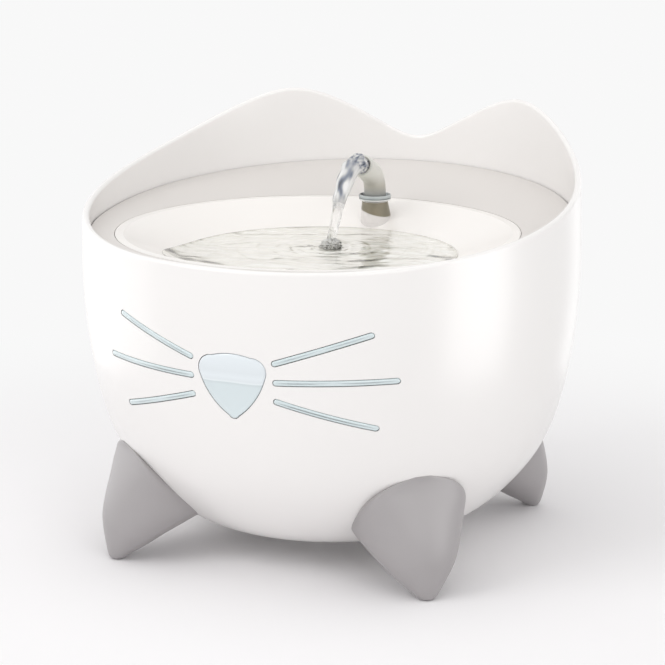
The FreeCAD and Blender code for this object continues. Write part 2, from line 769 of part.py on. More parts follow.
def make_drinking_dish():
    rim = mm("dish_rim_height")
    hanger = dish_cylinder(hanger_radius(), mm("hanger_bottom"), rim)
    in_dish_floor = mm("dish_floor_height") - mm("dish_wall") / 2
    hanger = hanger.cut(dish_cylinder(hanger_radius() - mm("hanger_wall"),
                                      mm("hanger_bottom") - CUT_MARGIN, in_dish_floor))
    boss = spout_rod(mm("boss_radius"), mm("boss_bottom"), rim)
    solid = under_dish().fuse([hanger, boss]).cut(over_dish())
    holes = [spout_rod(mm("stem_radius") + mm("running_gap"), mm("boss_bottom") - CUT_MARGIN, rim)]
    low = mm("hanger_bottom")
    for angle in DRAIN_ANGLES:
        drain = dish_cylinder(mm("drain_radius"), low, rim)
        drain.translate(polar(mm("drain_circle"), angle, 0))
        holes.append(drain)
    length, width = mm("overflow_length"), mm("overflow_width")
    for angle in OVERFLOW_ANGLES:
        slot = Part.makeBox(length, width, rim - low, Vector(-length / 2, -mm("overflow_radius"), low))
        slot.rotate(Vector(0, 0, 0), UP, angle)
        slot.translate(Vector(0, -dish_forward(), 0))
        holes.append(slot)
    return solid.cut(holes).removeSplitter()


def make_spout_riser():
    foot = Part.Wire([Part.Circle(Vector(0, spout_back() + mm("riser_foot_back"), mm("boss_bottom")), UP,
                                  mm("riser_foot_radius")).toShape()])
    head = Part.Wire([Part.Circle(Vector(0, spout_back(), mm("riser_top")), UP,
                                  mm("riser_top_radius")).toShape()])
    cone = Part.makeLoft([foot, head], True, True).common(over_dish())
    stem = spout_rod(mm("stem_radius"), mm("stem_bottom"), mm("stem_top"))
    low, high = mm("stem_bottom") - CUT_MARGIN, mm("riser_top") + CUT_MARGIN
    stub_low = mm("riser_top") - mm("collar_stub_length") - CUT_MARGIN
    stub_hole = spout_rod(mm("collar_stub_radius") + mm("running_gap"), stub_low, high)
    water_way = spout_rod(mm("collar_bore"), low, high)
    hose_socket = spout_rod(mm("hose_radius") + mm("seat_gap"), low, mm("hose_top") + mm("seat_gap"))
    return cone.fuse(stem).cut([stub_hole, water_way, hose_socket]).removeSplitter()


def bent_tube(corners, bend, radius, bore):
    """A round tube along straight runs joined by arcs of one radius, in the plane of the spout."""
    edges = []
    here = corners[0]
    for before, corner, after in zip(corners, corners[1:], corners[2:]):
        into = (corner - before).normalize()
        out = (after - corner).normalize()
        half_turn = into.getAngle(out) / 2
        back = bend * math.tan(half_turn)
        first, last = corner - into * back, corner + out * back
        inward = (out - into).normalize()
        middle = corner + inward * (bend / math.cos(half_turn) - bend)
        edges.append(Part.LineSegment(here, first).toShape())
        edges.append(Part.Arc(first, middle, last).toShape())
        here = last
    edges.append(Part.LineSegment(here, corners[-1]).toShape())
    path = Part.Wire(edges)
    direction = (corners[1] - corners[0]).normalize()
    tubes = []
    for size in (radius, bore):
        ring = Part.Wire([Part.Circle(corners[0], direction, size).toShape()])
        tubes.append(path.makePipeShell([ring], True, True))
    return tubes[0].cut(tubes[1])


def collar_top():
    return mm("riser_top") + mm("seat_gap") + mm("collar_thickness")


def make_spout_elbow():
    low = collar_top() + mm("seat_gap")
    turn = math.radians(mm("elbow_turn"))
    foot = Vector(0, spout_back(), low)
    corner = foot + UP * mm("elbow_rise")
    mouth = corner + Vector(0, -math.sin(turn), math.cos(turn)) * mm("elbow_run")
    tube = bent_tube([foot, corner, mouth], mm("elbow_bend"), mm("elbow_radius"), mm("elbow_bore"))
    spigot_top = low + mm("elbow_radius") - mm("elbow_bore")
    spigot = spout_rod(mm("collar_bore") - mm("running_gap"), low - mm("spigot_length"), spigot_top)
    web = spout_rod((mm("elbow_radius") + mm("elbow_bore")) / 2, low, spigot_top)
    way = spout_rod(mm("elbow_way"), low - mm("spigot_length") - CUT_MARGIN, spigot_top + CUT_MARGIN)
    return tube.fuse([spigot, web]).cut(way).removeSplitter()


def make_outlet_hose():
    outlet_y = mm("pump_back") - mm("back_plate") - mm("housing_length") - mm("volute_length") / 2
    start = Vector(0, outlet_y, mm("pump_axis_height") + mm("pump_height") / 2 + mm("seat_gap"))
    first = start + UP * mm("hose_rise")
    second = Vector(0, spout_back(), first.z + mm("hose_lean"))
    end = Vector(0, spout_back(), mm("hose_top"))
    return bent_tube([start, first, second, end], mm("hose_bend"), mm("hose_radius"), mm("spigot_radius"))


def make_riser_seal():
    height = mm("boss_bottom") - mm("ring_radius")
    return Part.makeTorus(mm("stem_radius") + mm("ring_radius"), mm("ring_radius"),
                          Vector(0, spout_back(), height))


shaped_piece("reservoir_shell", make_reservoir_shell())
shaped_piece("window_lens", make_window_lens())
shaped_piece("window_seal", make_window_seal())
foot_shape = make_foot()
for label, turn in FEET:
    foot = shaped_piece(label, foot_shape)
    foot.Placement = FreeCAD.Placement(Vector(0, 0, 0), FreeCAD.Rotation(UP, turn))
shaped_piece("tray_surround", make_surround())
shaped_piece("drinking_dish", make_drinking_dish())
shaped_piece("spout_riser", make_spout_riser())
shaped_piece("riser_seal", make_riser_seal())
shaped_piece("spout_elbow", make_spout_elbow())
shaped_piece("outlet_hose", make_outlet_hose())

# Turned pieces, each drawn as half a section on its own axis


def turned_body(label, corners, x="0", y="0", z="0"):
    body = new_body(label)
    sketch = new_sketch(body, label + "_section", "XZ_Plane")
    draw_polygon(sketch, corners)
    revolve_sketch(body, label + "_turn", sketch)
    place(body, x, y, z)
    return body


turned_body("spout_collar", [
    ("sizes.collar_bore", "-sizes.collar_stub_length"),
    ("sizes.collar_stub_radius", "-sizes.collar_stub_length"),
    ("sizes.collar_stub_radius", "0"),
    ("sizes.collar_radius - sizes.collar_thickness / 3", "0"),
    ("sizes.collar_radius", "sizes.collar_thickness / 3"),
    ("sizes.collar_radius", "sizes.collar_thickness * 2 / 3"),
    ("sizes.collar_radius - sizes.collar_thickness / 3", "sizes.collar_thickness"),
    ("sizes.collar_bore", "sizes.collar_thickness"),
], y=SPOUT_BACK, z="sizes.riser_top + sizes.seat_gap")

basket = turned_body("filter_basket", [
    ("0", "0"),
    ("sizes.basket_radius", "0"),
    ("sizes.basket_radius", "sizes.basket_top - sizes.basket_bottom"),
    ("sizes.basket_radius - sizes.basket_wall", "sizes.basket_top - sizes.basket_bottom"),
    ("sizes.basket_radius - sizes.basket_wall", "sizes.basket_wall"),
    ("0", "sizes.basket_wall"),
], y="-" + DISH_FORWARD, z="sizes.basket_bottom")
slot_sketch = new_sketch(basket, "basket_slot_sketch")
draw_polygon(slot_sketch, [
    ("sizes.basket_radius / 4", "-sizes.basket_wall"),
    ("sizes.basket_radius * 4 / 5", "-sizes.basket_wall"),
    ("sizes.basket_radius * 4 / 5", "sizes.basket_wall"),
    ("sizes.basket_radius / 4", "sizes.basket_wall"),
])
slot = pocket(basket, "basket_slot", slot_sketch, "sizes.basket_wall", reversed_cut=True)
polar_pattern(basket, "basket_slots", slot, "12", slot_sketch)

pad_radius = "sizes.basket_radius - sizes.basket_wall - sizes.seat_gap"
rod("foam_pad", pad_radius, "sizes.foam_height", y="-" + DISH_FORWARD,
    z="sizes.basket_bottom + sizes.basket_wall + sizes.seat_gap")
rod("carbon_pad", pad_radius, "sizes.carbon_height", y="-" + DISH_FORWARD,
    z="sizes.basket_bottom + sizes.basket_wall + 2 * sizes.seat_gap + sizes.foam_height")

nut = new_body("riser_nut")
nut_sketch = new_sketch(nut, "nut_outline")
draw_polygon(nut_sketch, [
    ("sizes.nut_radius * cos(%d deg)" % angle, "sizes.nut_radius * sin(%d deg)" % angle)
    for angle in range(0, 360, 60)
])
draw_circle(nut_sketch, "sizes.stem_radius + sizes.running_gap")
pad(nut, "nut_pad", nut_sketch, "sizes.nut_height")
place(nut, y=SPOUT_BACK,
      z="sizes.boss_bottom - 2 * sizes.ring_radius - sizes.nut_height")

# The pump lies on its side: its own axis points to the front and counts from its back face

PUMP_TURN = FreeCAD.Rotation(Vector(1, 0, 0), 90)


def seat_pump_piece(piece):
    piece.Placement = FreeCAD.Placement(Vector(0, 0, 0), PUMP_TURN)
    return place(piece, y="sizes.pump_back", z="sizes.pump_axis_height")


def name_piece(piece, label):
    piece.Label = label
    return seat_pump_piece(piece)


HALF_WIDE = "sizes.pump_width / 2"
HALF_TALL = "sizes.pump_height / 2"
FRONT_FACE = "sizes.back_plate + sizes.housing_length"

housing = new_body("pump_housing")
housing_outline = new_sketch(housing, "housing_outline", offset="sizes.back_plate")
draw_rectangle(housing_outline, HALF_WIDE, HALF_TALL)
pad(housing, "housing_pad", housing_outline, "sizes.housing_length")
hollow_outline = new_sketch(housing, "housing_hollow_outline", offset="sizes.back_plate")
draw_rectangle(hollow_outline, HALF_WIDE + " - sizes.pump_wall", HALF_TALL + " - sizes.pump_wall")
pocket(housing, "housing_hollow", hollow_outline, "sizes.housing_length - sizes.pump_wall",
       reversed_cut=True)
well_outline = new_sketch(housing, "well_outline", offset="sizes.well_end")
draw_circle(well_outline, "sizes.well_radius")
pad(housing, "well_pad", well_outline, FRONT_FACE + " - sizes.well_end")
bore_outline = new_sketch(housing, "well_bore_outline", offset=FRONT_FACE)
draw_circle(bore_outline, "sizes.well_bore")
pocket(housing, "well_bore", bore_outline, FRONT_FACE + " - sizes.well_end - sizes.pump_wall")
seat_pump_piece(housing)

back_plate = new_body("pump_back_plate")
plate_outline = new_sketch(back_plate, "back_plate_outline")
draw_rectangle(plate_outline, HALF_WIDE, HALF_TALL)
draw_circle(plate_outline, "sizes.grommet_bore")
pad(back_plate, "back_plate_pad", plate_outline, "sizes.back_plate")
seat_pump_piece(back_plate)

gland = new_body("pump_cable_gland")
gland_section = new_sketch(gland, "gland_section", "XZ_Plane")
draw_polygon(gland_section, [
    ("sizes.grommet_bore * 0.7", "-sizes.back_plate * 2"),
    ("sizes.grommet_bore * 1.5", "-sizes.back_plate * 2"),
    ("sizes.grommet_bore * 1.7", "0"),
    ("sizes.grommet_bore - sizes.running_gap", "0"),
    ("sizes.grommet_bore - sizes.running_gap", "sizes.back_plate"),
    ("sizes.grommet_bore * 0.7", "sizes.back_plate"),
])
revolve_sketch(gland, "gland_turn", gland_section)
seat_pump_piece(gland)

volute_block = block("volute_block", "sizes.pump_width", "sizes.pump_height", "sizes.volute_length",
                     "-" + HALF_WIDE, "-" + HALF_TALL, FRONT_FACE)
OUTLET_AT = FRONT_FACE + " + sizes.volute_length / 2"
outlet = rod("outlet_spigot", "sizes.spigot_radius - sizes.running_gap",
             "sizes.pump_height / 2 + sizes.spigot_height - sizes.chamber_radius",
             y="sizes.chamber_radius", z=OUTLET_AT, axis=Vector(0, 1, 0))
outlet_way = rod("outlet_way", "sizes.spigot_bore", "sizes.pump_height + sizes.spigot_height",
                 z=OUTLET_AT, axis=Vector(0, 1, 0))
chamber = rod("impeller_chamber", "sizes.chamber_radius", "sizes.volute_length - sizes.pump_wall",
              z=FRONT_FACE)
inlet_eye = rod("inlet_eye", "sizes.inlet_radius", "sizes.volute_length * 2", z=FRONT_FACE)
axle_post = rod("axle_post", "sizes.shaft_radius * 2", "sizes.pump_wall",
                z=FRONT_FACE + " + sizes.volute_length - sizes.pump_wall")
axle_web = block("axle_web", "sizes.inlet_radius * 2.4", "sizes.pump_wall / 2", "sizes.pump_wall",
                 "-sizes.inlet_radius * 1.2", "-sizes.pump_wall / 4",
                 FRONT_FACE + " + sizes.volute_length - sizes.pump_wall")
axle_hole = rod("axle_hole", "sizes.shaft_radius", "sizes.volute_length - 1", z=FRONT_FACE)
volute_solid = cut("volute_hollow", join("volute_outside", [volute_block, outlet]),
                   join("volute_spaces", [outlet_way, chamber, inlet_eye]))
volute = cut("volute_cover", join("volute_with_web", [volute_solid, axle_post, axle_web]), axle_hole)
name_piece(volute, "volute_cover")

GRILLE_FACE = FRONT_FACE + " + sizes.volute_length"
grille = new_body("inlet_grille")
grille_outline = new_sketch(grille, "grille_outline", offset=GRILLE_FACE)
draw_rectangle(grille_outline, HALF_WIDE, HALF_TALL)
pad(grille, "grille_pad", grille_outline, "sizes.grille_length")
grille_hollow = new_sketch(grille, "grille_hollow_outline", offset=GRILLE_FACE)
draw_rectangle(grille_hollow, HALF_WIDE + " - sizes.pump_wall", HALF_TALL + " - sizes.pump_wall")
pocket(grille, "grille_hollow", grille_hollow, "sizes.grille_length - sizes.pump_wall", reversed_cut=True)
bar_outline = new_sketch(grille, "grille_slot_outline", offset=GRILLE_FACE + " + sizes.grille_length")
draw_polygon(bar_outline, [
    ("-(%s - 2 * sizes.pump_wall)" % HALF_WIDE, "-(%s - 2 * sizes.pump_wall)" % HALF_TALL),
    (HALF_WIDE + " - 2 * sizes.pump_wall", "-(%s - 2 * sizes.pump_wall)" % HALF_TALL),
    (HALF_WIDE + " - 2 * sizes.pump_wall", "-(%s - 3 * sizes.pump_wall)" % HALF_TALL),
    ("-(%s - 2 * sizes.pump_wall)" % HALF_WIDE, "-(%s - 3 * sizes.pump_wall)" % HALF_TALL),
])
grille_slot = pocket(grille, "grille_slot", bar_outline, "sizes.pump_wall")
grille_slots = grille.newObject("PartDesign::LinearPattern", "grille_slots")
grille_slots.Originals = [grille_slot]
grille_slots.Direction = (bar_outline, ["V_Axis"])
grille_slots.setExpression("Length", "sizes.pump_height - 5 * sizes.pump_wall")
grille_slots.Occurrences = 5
grille.Tip = grille_slots
doc.recompute()
seat_pump_piece(grille)

sponge = block("inlet_sponge", "sizes.pump_width - 2 * sizes.pump_wall - 2 * sizes.seat_gap",
               "sizes.pump_height - 2 * sizes.pump_wall - 2 * sizes.seat_gap",
               "sizes.grille_length - sizes.pump_wall - 2 * sizes.seat_gap",
               "0", "0", "0")
sponge_piece = doc.addObject("Part::Compound", "sponge_seat")
place(sponge, "-(%s - sizes.pump_wall - sizes.seat_gap)" % HALF_WIDE,
      "-(%s - sizes.pump_wall - sizes.seat_gap)" % HALF_TALL, GRILLE_FACE + " + sizes.seat_gap")
sponge_piece.Links = [sponge]
sponge.Label = "sponge_block"
name_piece(sponge_piece, "inlet_sponge")

# Rotor: a magnet and an impeller that turn together on a fixed shaft between two rubber bushes

shaft_from = "sizes.well_end + sizes.pump_wall + sizes.shaft_gap"
SHAFT_END = FRONT_FACE + " + sizes.volute_length - sizes.shaft_inset"
shaft = rod("shaft_rod", "sizes.shaft_radius", SHAFT_END + " - (%s)" % shaft_from, z=shaft_from)
shaft_piece = doc.addObject("Part::Compound", "shaft_seat")
shaft_piece.Links = [shaft]
name_piece(shaft_piece, "rotor_shaft")


def hollow_rod(label, outer, inner, start, length):
    piece = cut(label, rod(label + "_outside", outer, length, z=start),
                rod(label + "_hole", inner, length, z=start))
    return name_piece(piece, label)


BUSH = "sizes.rear_bush_length"
hollow_rod("rear_bush", "sizes.well_bore - sizes.seat_gap", "sizes.shaft_radius", shaft_from, BUSH)
hollow_rod("front_bush", "sizes.shaft_radius * 2 - sizes.seat_gap", "sizes.shaft_radius",
           FRONT_FACE + " + sizes.volute_length - sizes.pump_wall - sizes.front_bush_length",
           "sizes.front_bush_length")
magnet_start = shaft_from + " + %s + sizes.seat_gap" % BUSH
hollow_rod("rotor_magnet", "sizes.magnet_radius", "sizes.shaft_radius + sizes.shaft_gap", magnet_start,
           "sizes.magnet_length")

IMPELLER_FROM = "(%s + sizes.magnet_length)" % magnet_start
DISC_FROM = FRONT_FACE + " + sizes.impeller_gap"
impeller = new_body("impeller")
hub_outline = new_sketch(impeller, "impeller_hub_outline", offset=IMPELLER_FROM)
draw_circle(hub_outline, "sizes.magnet_radius")
draw_circle(hub_outline, "sizes.shaft_radius + sizes.shaft_gap")
pad(impeller, "impeller_hub", hub_outline, DISC_FROM + " - %s" % IMPELLER_FROM)
disc_outline = new_sketch(impeller, "impeller_disc_outline", offset=DISC_FROM)
draw_circle(disc_outline, "sizes.impeller_radius")
draw_circle(disc_outline, "sizes.shaft_radius + sizes.shaft_gap")
pad(impeller, "impeller_disc", disc_outline, "sizes.impeller_disc")
blade_outline = new_sketch(impeller, "impeller_blade_outline", offset=DISC_FROM)
draw_polygon(blade_outline, [
    ("sizes.shaft_radius * 2", "-sizes.impeller_disc / 2"),
    ("sizes.impeller_radius - sizes.impeller_gap", "-sizes.impeller_disc / 2"),
    ("sizes.impeller_radius - sizes.impeller_gap", "sizes.impeller_disc / 2"),
    ("sizes.shaft_radius * 2", "sizes.impeller_disc / 2"),
])
blade = pad(impeller, "impeller_blade", blade_outline,
            "sizes.volute_length - sizes.pump_wall - 4 * sizes.impeller_gap")
polar_pattern(impeller, "impeller_blades", blade, "sizes.blade_count", blade_outline)
seat_pump_piece(impeller)

# Stator: a ring with four poles round the well, a coil on each pole, and the driver board behind

STATOR_FROM = "sizes.well_end + sizes.pump_wall + sizes.stator_setback"
stator = new_body("stator_core")
stator_outline = new_sketch(stator, "stator_outline", offset=STATOR_FROM)
draw_circle(stator_outline, "sizes.stator_radius")
draw_circle(stator_outline, "sizes.stator_radius - sizes.stator_ring")
pad(stator, "stator_pad", stator_outline, "sizes.stator_length")
pole_outline = new_sketch(stator, "pole_outline", offset=STATOR_FROM)
draw_polygon(pole_outline, [
    ("sizes.well_radius + sizes.seat_gap", "-sizes.pole_width / 2"),
    ("sizes.stator_radius - sizes.stator_ring / 2", "-sizes.pole_width / 2"),
    ("sizes.stator_radius - sizes.stator_ring / 2", "sizes.pole_width / 2"),
    ("sizes.well_radius + sizes.seat_gap", "sizes.pole_width / 2"),
])
pole = pad(stator, "stator_pole", pole_outline, "sizes.stator_length")
polar_pattern(stator, "stator_poles", pole, "4", pole_outline)
seat_pump_piece(stator)

coil_parts = []
for index, direction in enumerate((Vector(1, 0, 0), Vector(0, 1, 0), Vector(-1, 0, 0), Vector(0, -1, 0))):
    wound = block("coil_wound_%d" % index,
                  "sizes.stator_radius - sizes.stator_ring - sizes.well_radius - 3 * sizes.seat_gap",
                  "sizes.coil_width", "sizes.stator_length + 2 * sizes.coil_overhang",
                  "sizes.well_radius + 1.5 * sizes.seat_gap", "-sizes.coil_width / 2",
                  STATOR_FROM + " - sizes.coil_overhang")
    core = block("coil_core_%d" % index, "sizes.stator_radius", "sizes.pole_width + 2 * sizes.coil_gap",
                 "sizes.stator_length + 2 * sizes.coil_gap", "0",
                 "-(sizes.pole_width / 2 + sizes.coil_gap)", STATOR_FROM + " - sizes.coil_gap")
    coil = cut("coil_%d" % index, wound, core)
    coil.Placement.Rotation = FreeCAD.Rotation(UP, 90 * index)
    coil_parts.append(coil)
coils = doc.addObject("Part::Compound", "coil_group")
coils.Links = coil_parts
name_piece(coils, "stator_coils")

board = block("board_plate", "sizes.pump_width - 2 * sizes.pump_wall - 2 * sizes.seat_gap",
              "sizes.pump_height - 2 * sizes.pump_wall - 2 * sizes.seat_gap", "sizes.board_thickness",
              "-(%s - sizes.pump_wall - sizes.seat_gap)" % HALF_WIDE,
              "-(%s - sizes.pump_wall - sizes.seat_gap)" % HALF_TALL,
              "sizes.back_plate + sizes.board_gap")
board_seat = doc.addObject("Part::Compound", "board_seat")
board_seat.Links = [board]
name_piece(board_seat, "driver_board")

# Suction cups under the pump

FLOOR = "sizes.base_height + sizes.shell_wall"
cup_parts = []
cup_places = [("-sizes.cup_across", "sizes.cup_front"), ("sizes.cup_across", "sizes.cup_front"),
              ("-sizes.cup_across", "sizes.cup_rear"), ("sizes.cup_across", "sizes.cup_rear")]
for index, (across, along) in enumerate(cup_places):
    cup = doc.addObject("Part::Cone", "cup_%d" % index)
    set_formulas(cup, {
        "Radius1": "sizes.cup_radius",
        "Radius2": "sizes.cup_radius / 2",
        "Height": "sizes.pump_axis_height - sizes.pump_height / 2 - (%s) - sizes.seat_gap" % FLOOR,
    })
    place(cup, across, "sizes.pump_back - " + along, FLOOR + " + sizes.seat_gap")
    cup_parts.append(cup)
cups = doc.addObject("Part::Compound", "suction_cups")
cups.Links = cup_parts
cups.Label = "suction_cups"

# Rubber grommet in the back wall, through which the cable leaves

NECK_END = "sizes.mouth_wall + 1.5 * sizes.grommet_slack"
grommet = new_body("cable_grommet")
grommet_section = new_sketch(grommet, "grommet_section", "XZ_Plane")
draw_polygon(grommet_section, [
    ("sizes.grommet_bore", "-sizes.grommet_flange"),
    ("sizes.grommet_radius", "-sizes.grommet_flange"),
    ("sizes.grommet_radius", "0"),
    ("sizes.grommet_neck - sizes.running_gap", "0"),
    ("sizes.grommet_neck - sizes.running_gap", NECK_END),
    ("sizes.grommet_radius", NECK_END),
    ("sizes.grommet_radius - sizes.grommet_flange / 2", NECK_END + " + sizes.grommet_flange"),
    ("sizes.grommet_bore", NECK_END + " + sizes.grommet_flange"),
])
revolve_sketch(grommet, "grommet_turn", grommet_section)
grommet.Placement = FreeCAD.Placement(Vector(0, 0, 0), FreeCAD.Rotation(UP, Vector(0, 1, 0)))
place(grommet, y=MOUTH_RADIUS + " - sizes.grommet_slack", z="sizes.grommet_height")

# Every sub-part, by its label, goes to its own file

NODES = (
    "reservoir_shell", "window_lens", "window_seal", "foot_front_right", "foot_front_left",
    "foot_back_right", "foot_back_left", "cable_grommet", "tray_surround", "drinking_dish", "spout_riser",
    "riser_seal", "riser_nut", "spout_collar", "spout_elbow", "filter_basket", "foam_pad", "carbon_pad",
    "outlet_hose", "pump_housing", "pump_back_plate", "pump_cable_gland", "volute_cover", "inlet_grille",
    "inlet_sponge", "rotor_shaft", "rear_bush", "front_bush", "rotor_magnet", "impeller", "stator_core",
    "stator_coils", "driver_board", "suction_cups",
)

doc.recompute()
for thing in doc.Objects:
    if "Invalid" in thing.State or "Error" in thing.State:
        raise ValueError("%s failed: %s" % (thing.Label, thing.State))
os.makedirs("parts", exist_ok=True)
for label in NODES:
    piece = doc.getObjectsByLabel(label)[0]
    shape = piece.Shape
    if shape.isNull() or not shape.isValid():
        raise ValueError("%s has no valid shape" % label)
    shape.exportStep("parts/%s.step" % label)
    print("%-18s solids %d volume %.1f" % (label, len(shape.Solids), shape.Volume))
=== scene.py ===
import json
from math import asin, atan2, cos, exp, hypot, pi, radians, sin, sqrt, tan, tau

import bmesh
import bpy
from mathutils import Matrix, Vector, noise
from mathutils.bvhtree import BVHTree


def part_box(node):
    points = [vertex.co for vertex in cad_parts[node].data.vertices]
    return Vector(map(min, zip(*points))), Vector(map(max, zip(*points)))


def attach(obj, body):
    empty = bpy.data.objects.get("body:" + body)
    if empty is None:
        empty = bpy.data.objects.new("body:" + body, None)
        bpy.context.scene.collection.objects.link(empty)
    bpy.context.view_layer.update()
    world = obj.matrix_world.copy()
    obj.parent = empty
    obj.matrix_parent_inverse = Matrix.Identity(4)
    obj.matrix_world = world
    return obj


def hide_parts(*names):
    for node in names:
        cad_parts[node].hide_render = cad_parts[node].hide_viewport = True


# Pet water fountain: bowl with cat ears, nose and whisker windows, dish with running water.
# Front is -Y, the bowl stands on z = 0. Plain numbers in the tables are millimetres and degrees
# unless a note says otherwise, and mm turns them into metres.

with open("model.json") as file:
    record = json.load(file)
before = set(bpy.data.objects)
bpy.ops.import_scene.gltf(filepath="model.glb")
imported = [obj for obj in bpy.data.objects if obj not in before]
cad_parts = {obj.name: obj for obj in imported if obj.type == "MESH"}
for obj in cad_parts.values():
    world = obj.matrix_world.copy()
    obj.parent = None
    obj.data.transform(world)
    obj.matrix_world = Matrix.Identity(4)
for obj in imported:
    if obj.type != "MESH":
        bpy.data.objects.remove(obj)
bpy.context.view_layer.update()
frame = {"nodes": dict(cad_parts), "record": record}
nodes = frame["nodes"]
scene = bpy.context.scene
scene.view_settings.view_transform = "Standard"
mm = 0.001
print("frame loaded,", len(nodes), "nodes")


# Shader helpers

def addNode(tree, kind, settings=None, **inputs):
    node = tree.nodes.new(kind)
    for key, value in (settings or {}).items():
        setattr(node, key, value)
    for key, value in inputs.items():
        socket = node.inputs[key.replace("_", " ")]
        if isinstance(value, bpy.types.NodeSocket):
            tree.links.new(value, socket)
        else:
            socket.default_value = value
    return node


def newShader(name):
    material = bpy.data.materials.new(name)
    material.use_nodes = True
    tree = material.node_tree
    tree.nodes.clear()
    output = tree.nodes.new("ShaderNodeOutputMaterial")
    shader = tree.nodes.new("ShaderNodeBsdfPrincipled")
    tree.links.new(shader.outputs[0], output.inputs[0])
    return material, tree, shader


def addRamp(tree, factor, stops):
    ramp = tree.nodes.new("ShaderNodeValToRGB")
    elements = ramp.color_ramp.elements
    while len(elements) < len(stops):
        elements.new(0.5)
    for element, (place, colour) in zip(elements, stops):
        element.position = place
        element.color = (*colour, 1)
    tree.links.new(factor, ramp.inputs[0])
    return ramp.outputs[0]


def objectSpace(tree):
    return tree.nodes.new("ShaderNodeTexCoord").outputs["Object"]


def addNoise(tree, where, scale, detail=2.0):
    return addNode(tree, "ShaderNodeTexNoise", Vector=where, Scale=scale, Detail=detail).outputs["Fac"]


def addBump(tree, shader, height, strength, depth):
    bump = addNode(tree, "ShaderNodeBump", Height=height, Strength=strength, Distance=depth * mm)
    tree.links.new(bump.outputs[0], shader.inputs["Normal"])


def setInputs(node, values):
    for name, value in values.items():
        node.inputs[name].default_value = value


def shade(colour, share):
    return tuple(channel * share for channel in colour)


# fade is the share of the colour in the darker blotches, spread is how much the roughness varies,
# pattern is what the grain is made of: noise, cells or bands along one axis
plainLook = {
    "colour": (0.8, 0.8, 0.8), "fade": 0.97, "roughness": 0.4, "spread": 0.05, "metal": 0.0,
    "coat": 0.0, "coatRoughness": 0.1, "sheen": 0.0, "clear": 0.0, "ior": 1.5, "milky": 0.0,
    "pattern": "noise", "axis": "Z", "grain": 900, "blotch": 30, "bump": 0.05, "depth": 0.05,
    "dark": None,
}


def makeFinish(name, **changes):
    look = dict(plainLook, **changes)
    material, tree, shader = newShader(name)
    where = objectSpace(tree)
    blotch = addNoise(tree, where, look["blotch"], 3.0)
    if look["pattern"] == "cells":
        level = addNode(tree, "ShaderNodeTexVoronoi", Vector=where, Scale=look["grain"]).outputs["Distance"]
    elif look["pattern"] == "bands":
        level = addNode(tree, "ShaderNodeTexWave", {"bands_direction": look["axis"]}, Vector=where,
                        Scale=look["grain"], Distortion=0.6).outputs["Fac"]
    else:
        level = addNoise(tree, where, look["grain"])
    mix = addNode(tree, "ShaderNodeMix", {"data_type": "RGBA"})
    mix.inputs[6].default_value = (*look["colour"], 1)
    mix.inputs[7].default_value = (*(look["dark"] or shade(look["colour"], look["fade"])), 1)
    tree.links.new(level if look["dark"] else blotch, mix.inputs[0])
    tree.links.new(mix.outputs[2], shader.inputs["Base Color"])
    rough = addNode(tree, "ShaderNodeMapRange", Value=blotch)
    middle, spare = look["roughness"], look["spread"]
    setInputs(rough, {"To Min": middle - spare, "To Max": middle + spare})
    tree.links.new(rough.outputs[0], shader.inputs["Roughness"])
    addBump(tree, shader, level, look["bump"], look["depth"])
    setInputs(shader, {
        "Metallic": look["metal"], "IOR": look["ior"], "Coat Weight": look["coat"],
        "Coat Roughness": look["coatRoughness"], "Sheen Weight": look["sheen"],
        "Transmission Weight": look["clear"], "Subsurface Weight": look["milky"],
        "Subsurface Radius": (4 * mm, 3.6 * mm, 3.2 * mm), "Subsurface Scale": 1.0,
    })
    return material


def makeToneShader(name, stops, roughness, ior=1.33):    # colour and clearness come from the mesh
    material, tree, shader = newShader(name)
    tone = addNode(tree, "ShaderNodeAttribute", {"attribute_name": "tone"})
    colour = addRamp(tree, tone.outputs["Fac"], stops)
    tree.links.new(colour, shader.inputs["Base Color"])
    where = objectSpace(tree)
    addBump(tree, shader, addNoise(tree, where, 420.0), 0.25, 0.2)
    setInputs(shader, {"Roughness": roughness, "IOR": ior})
    clarity = addNode(tree, "ShaderNodeAttribute", {"attribute_name": "clarity"})
    tree.links.new(clarity.outputs["Fac"], shader.inputs["Transmission Weight"])
    return material


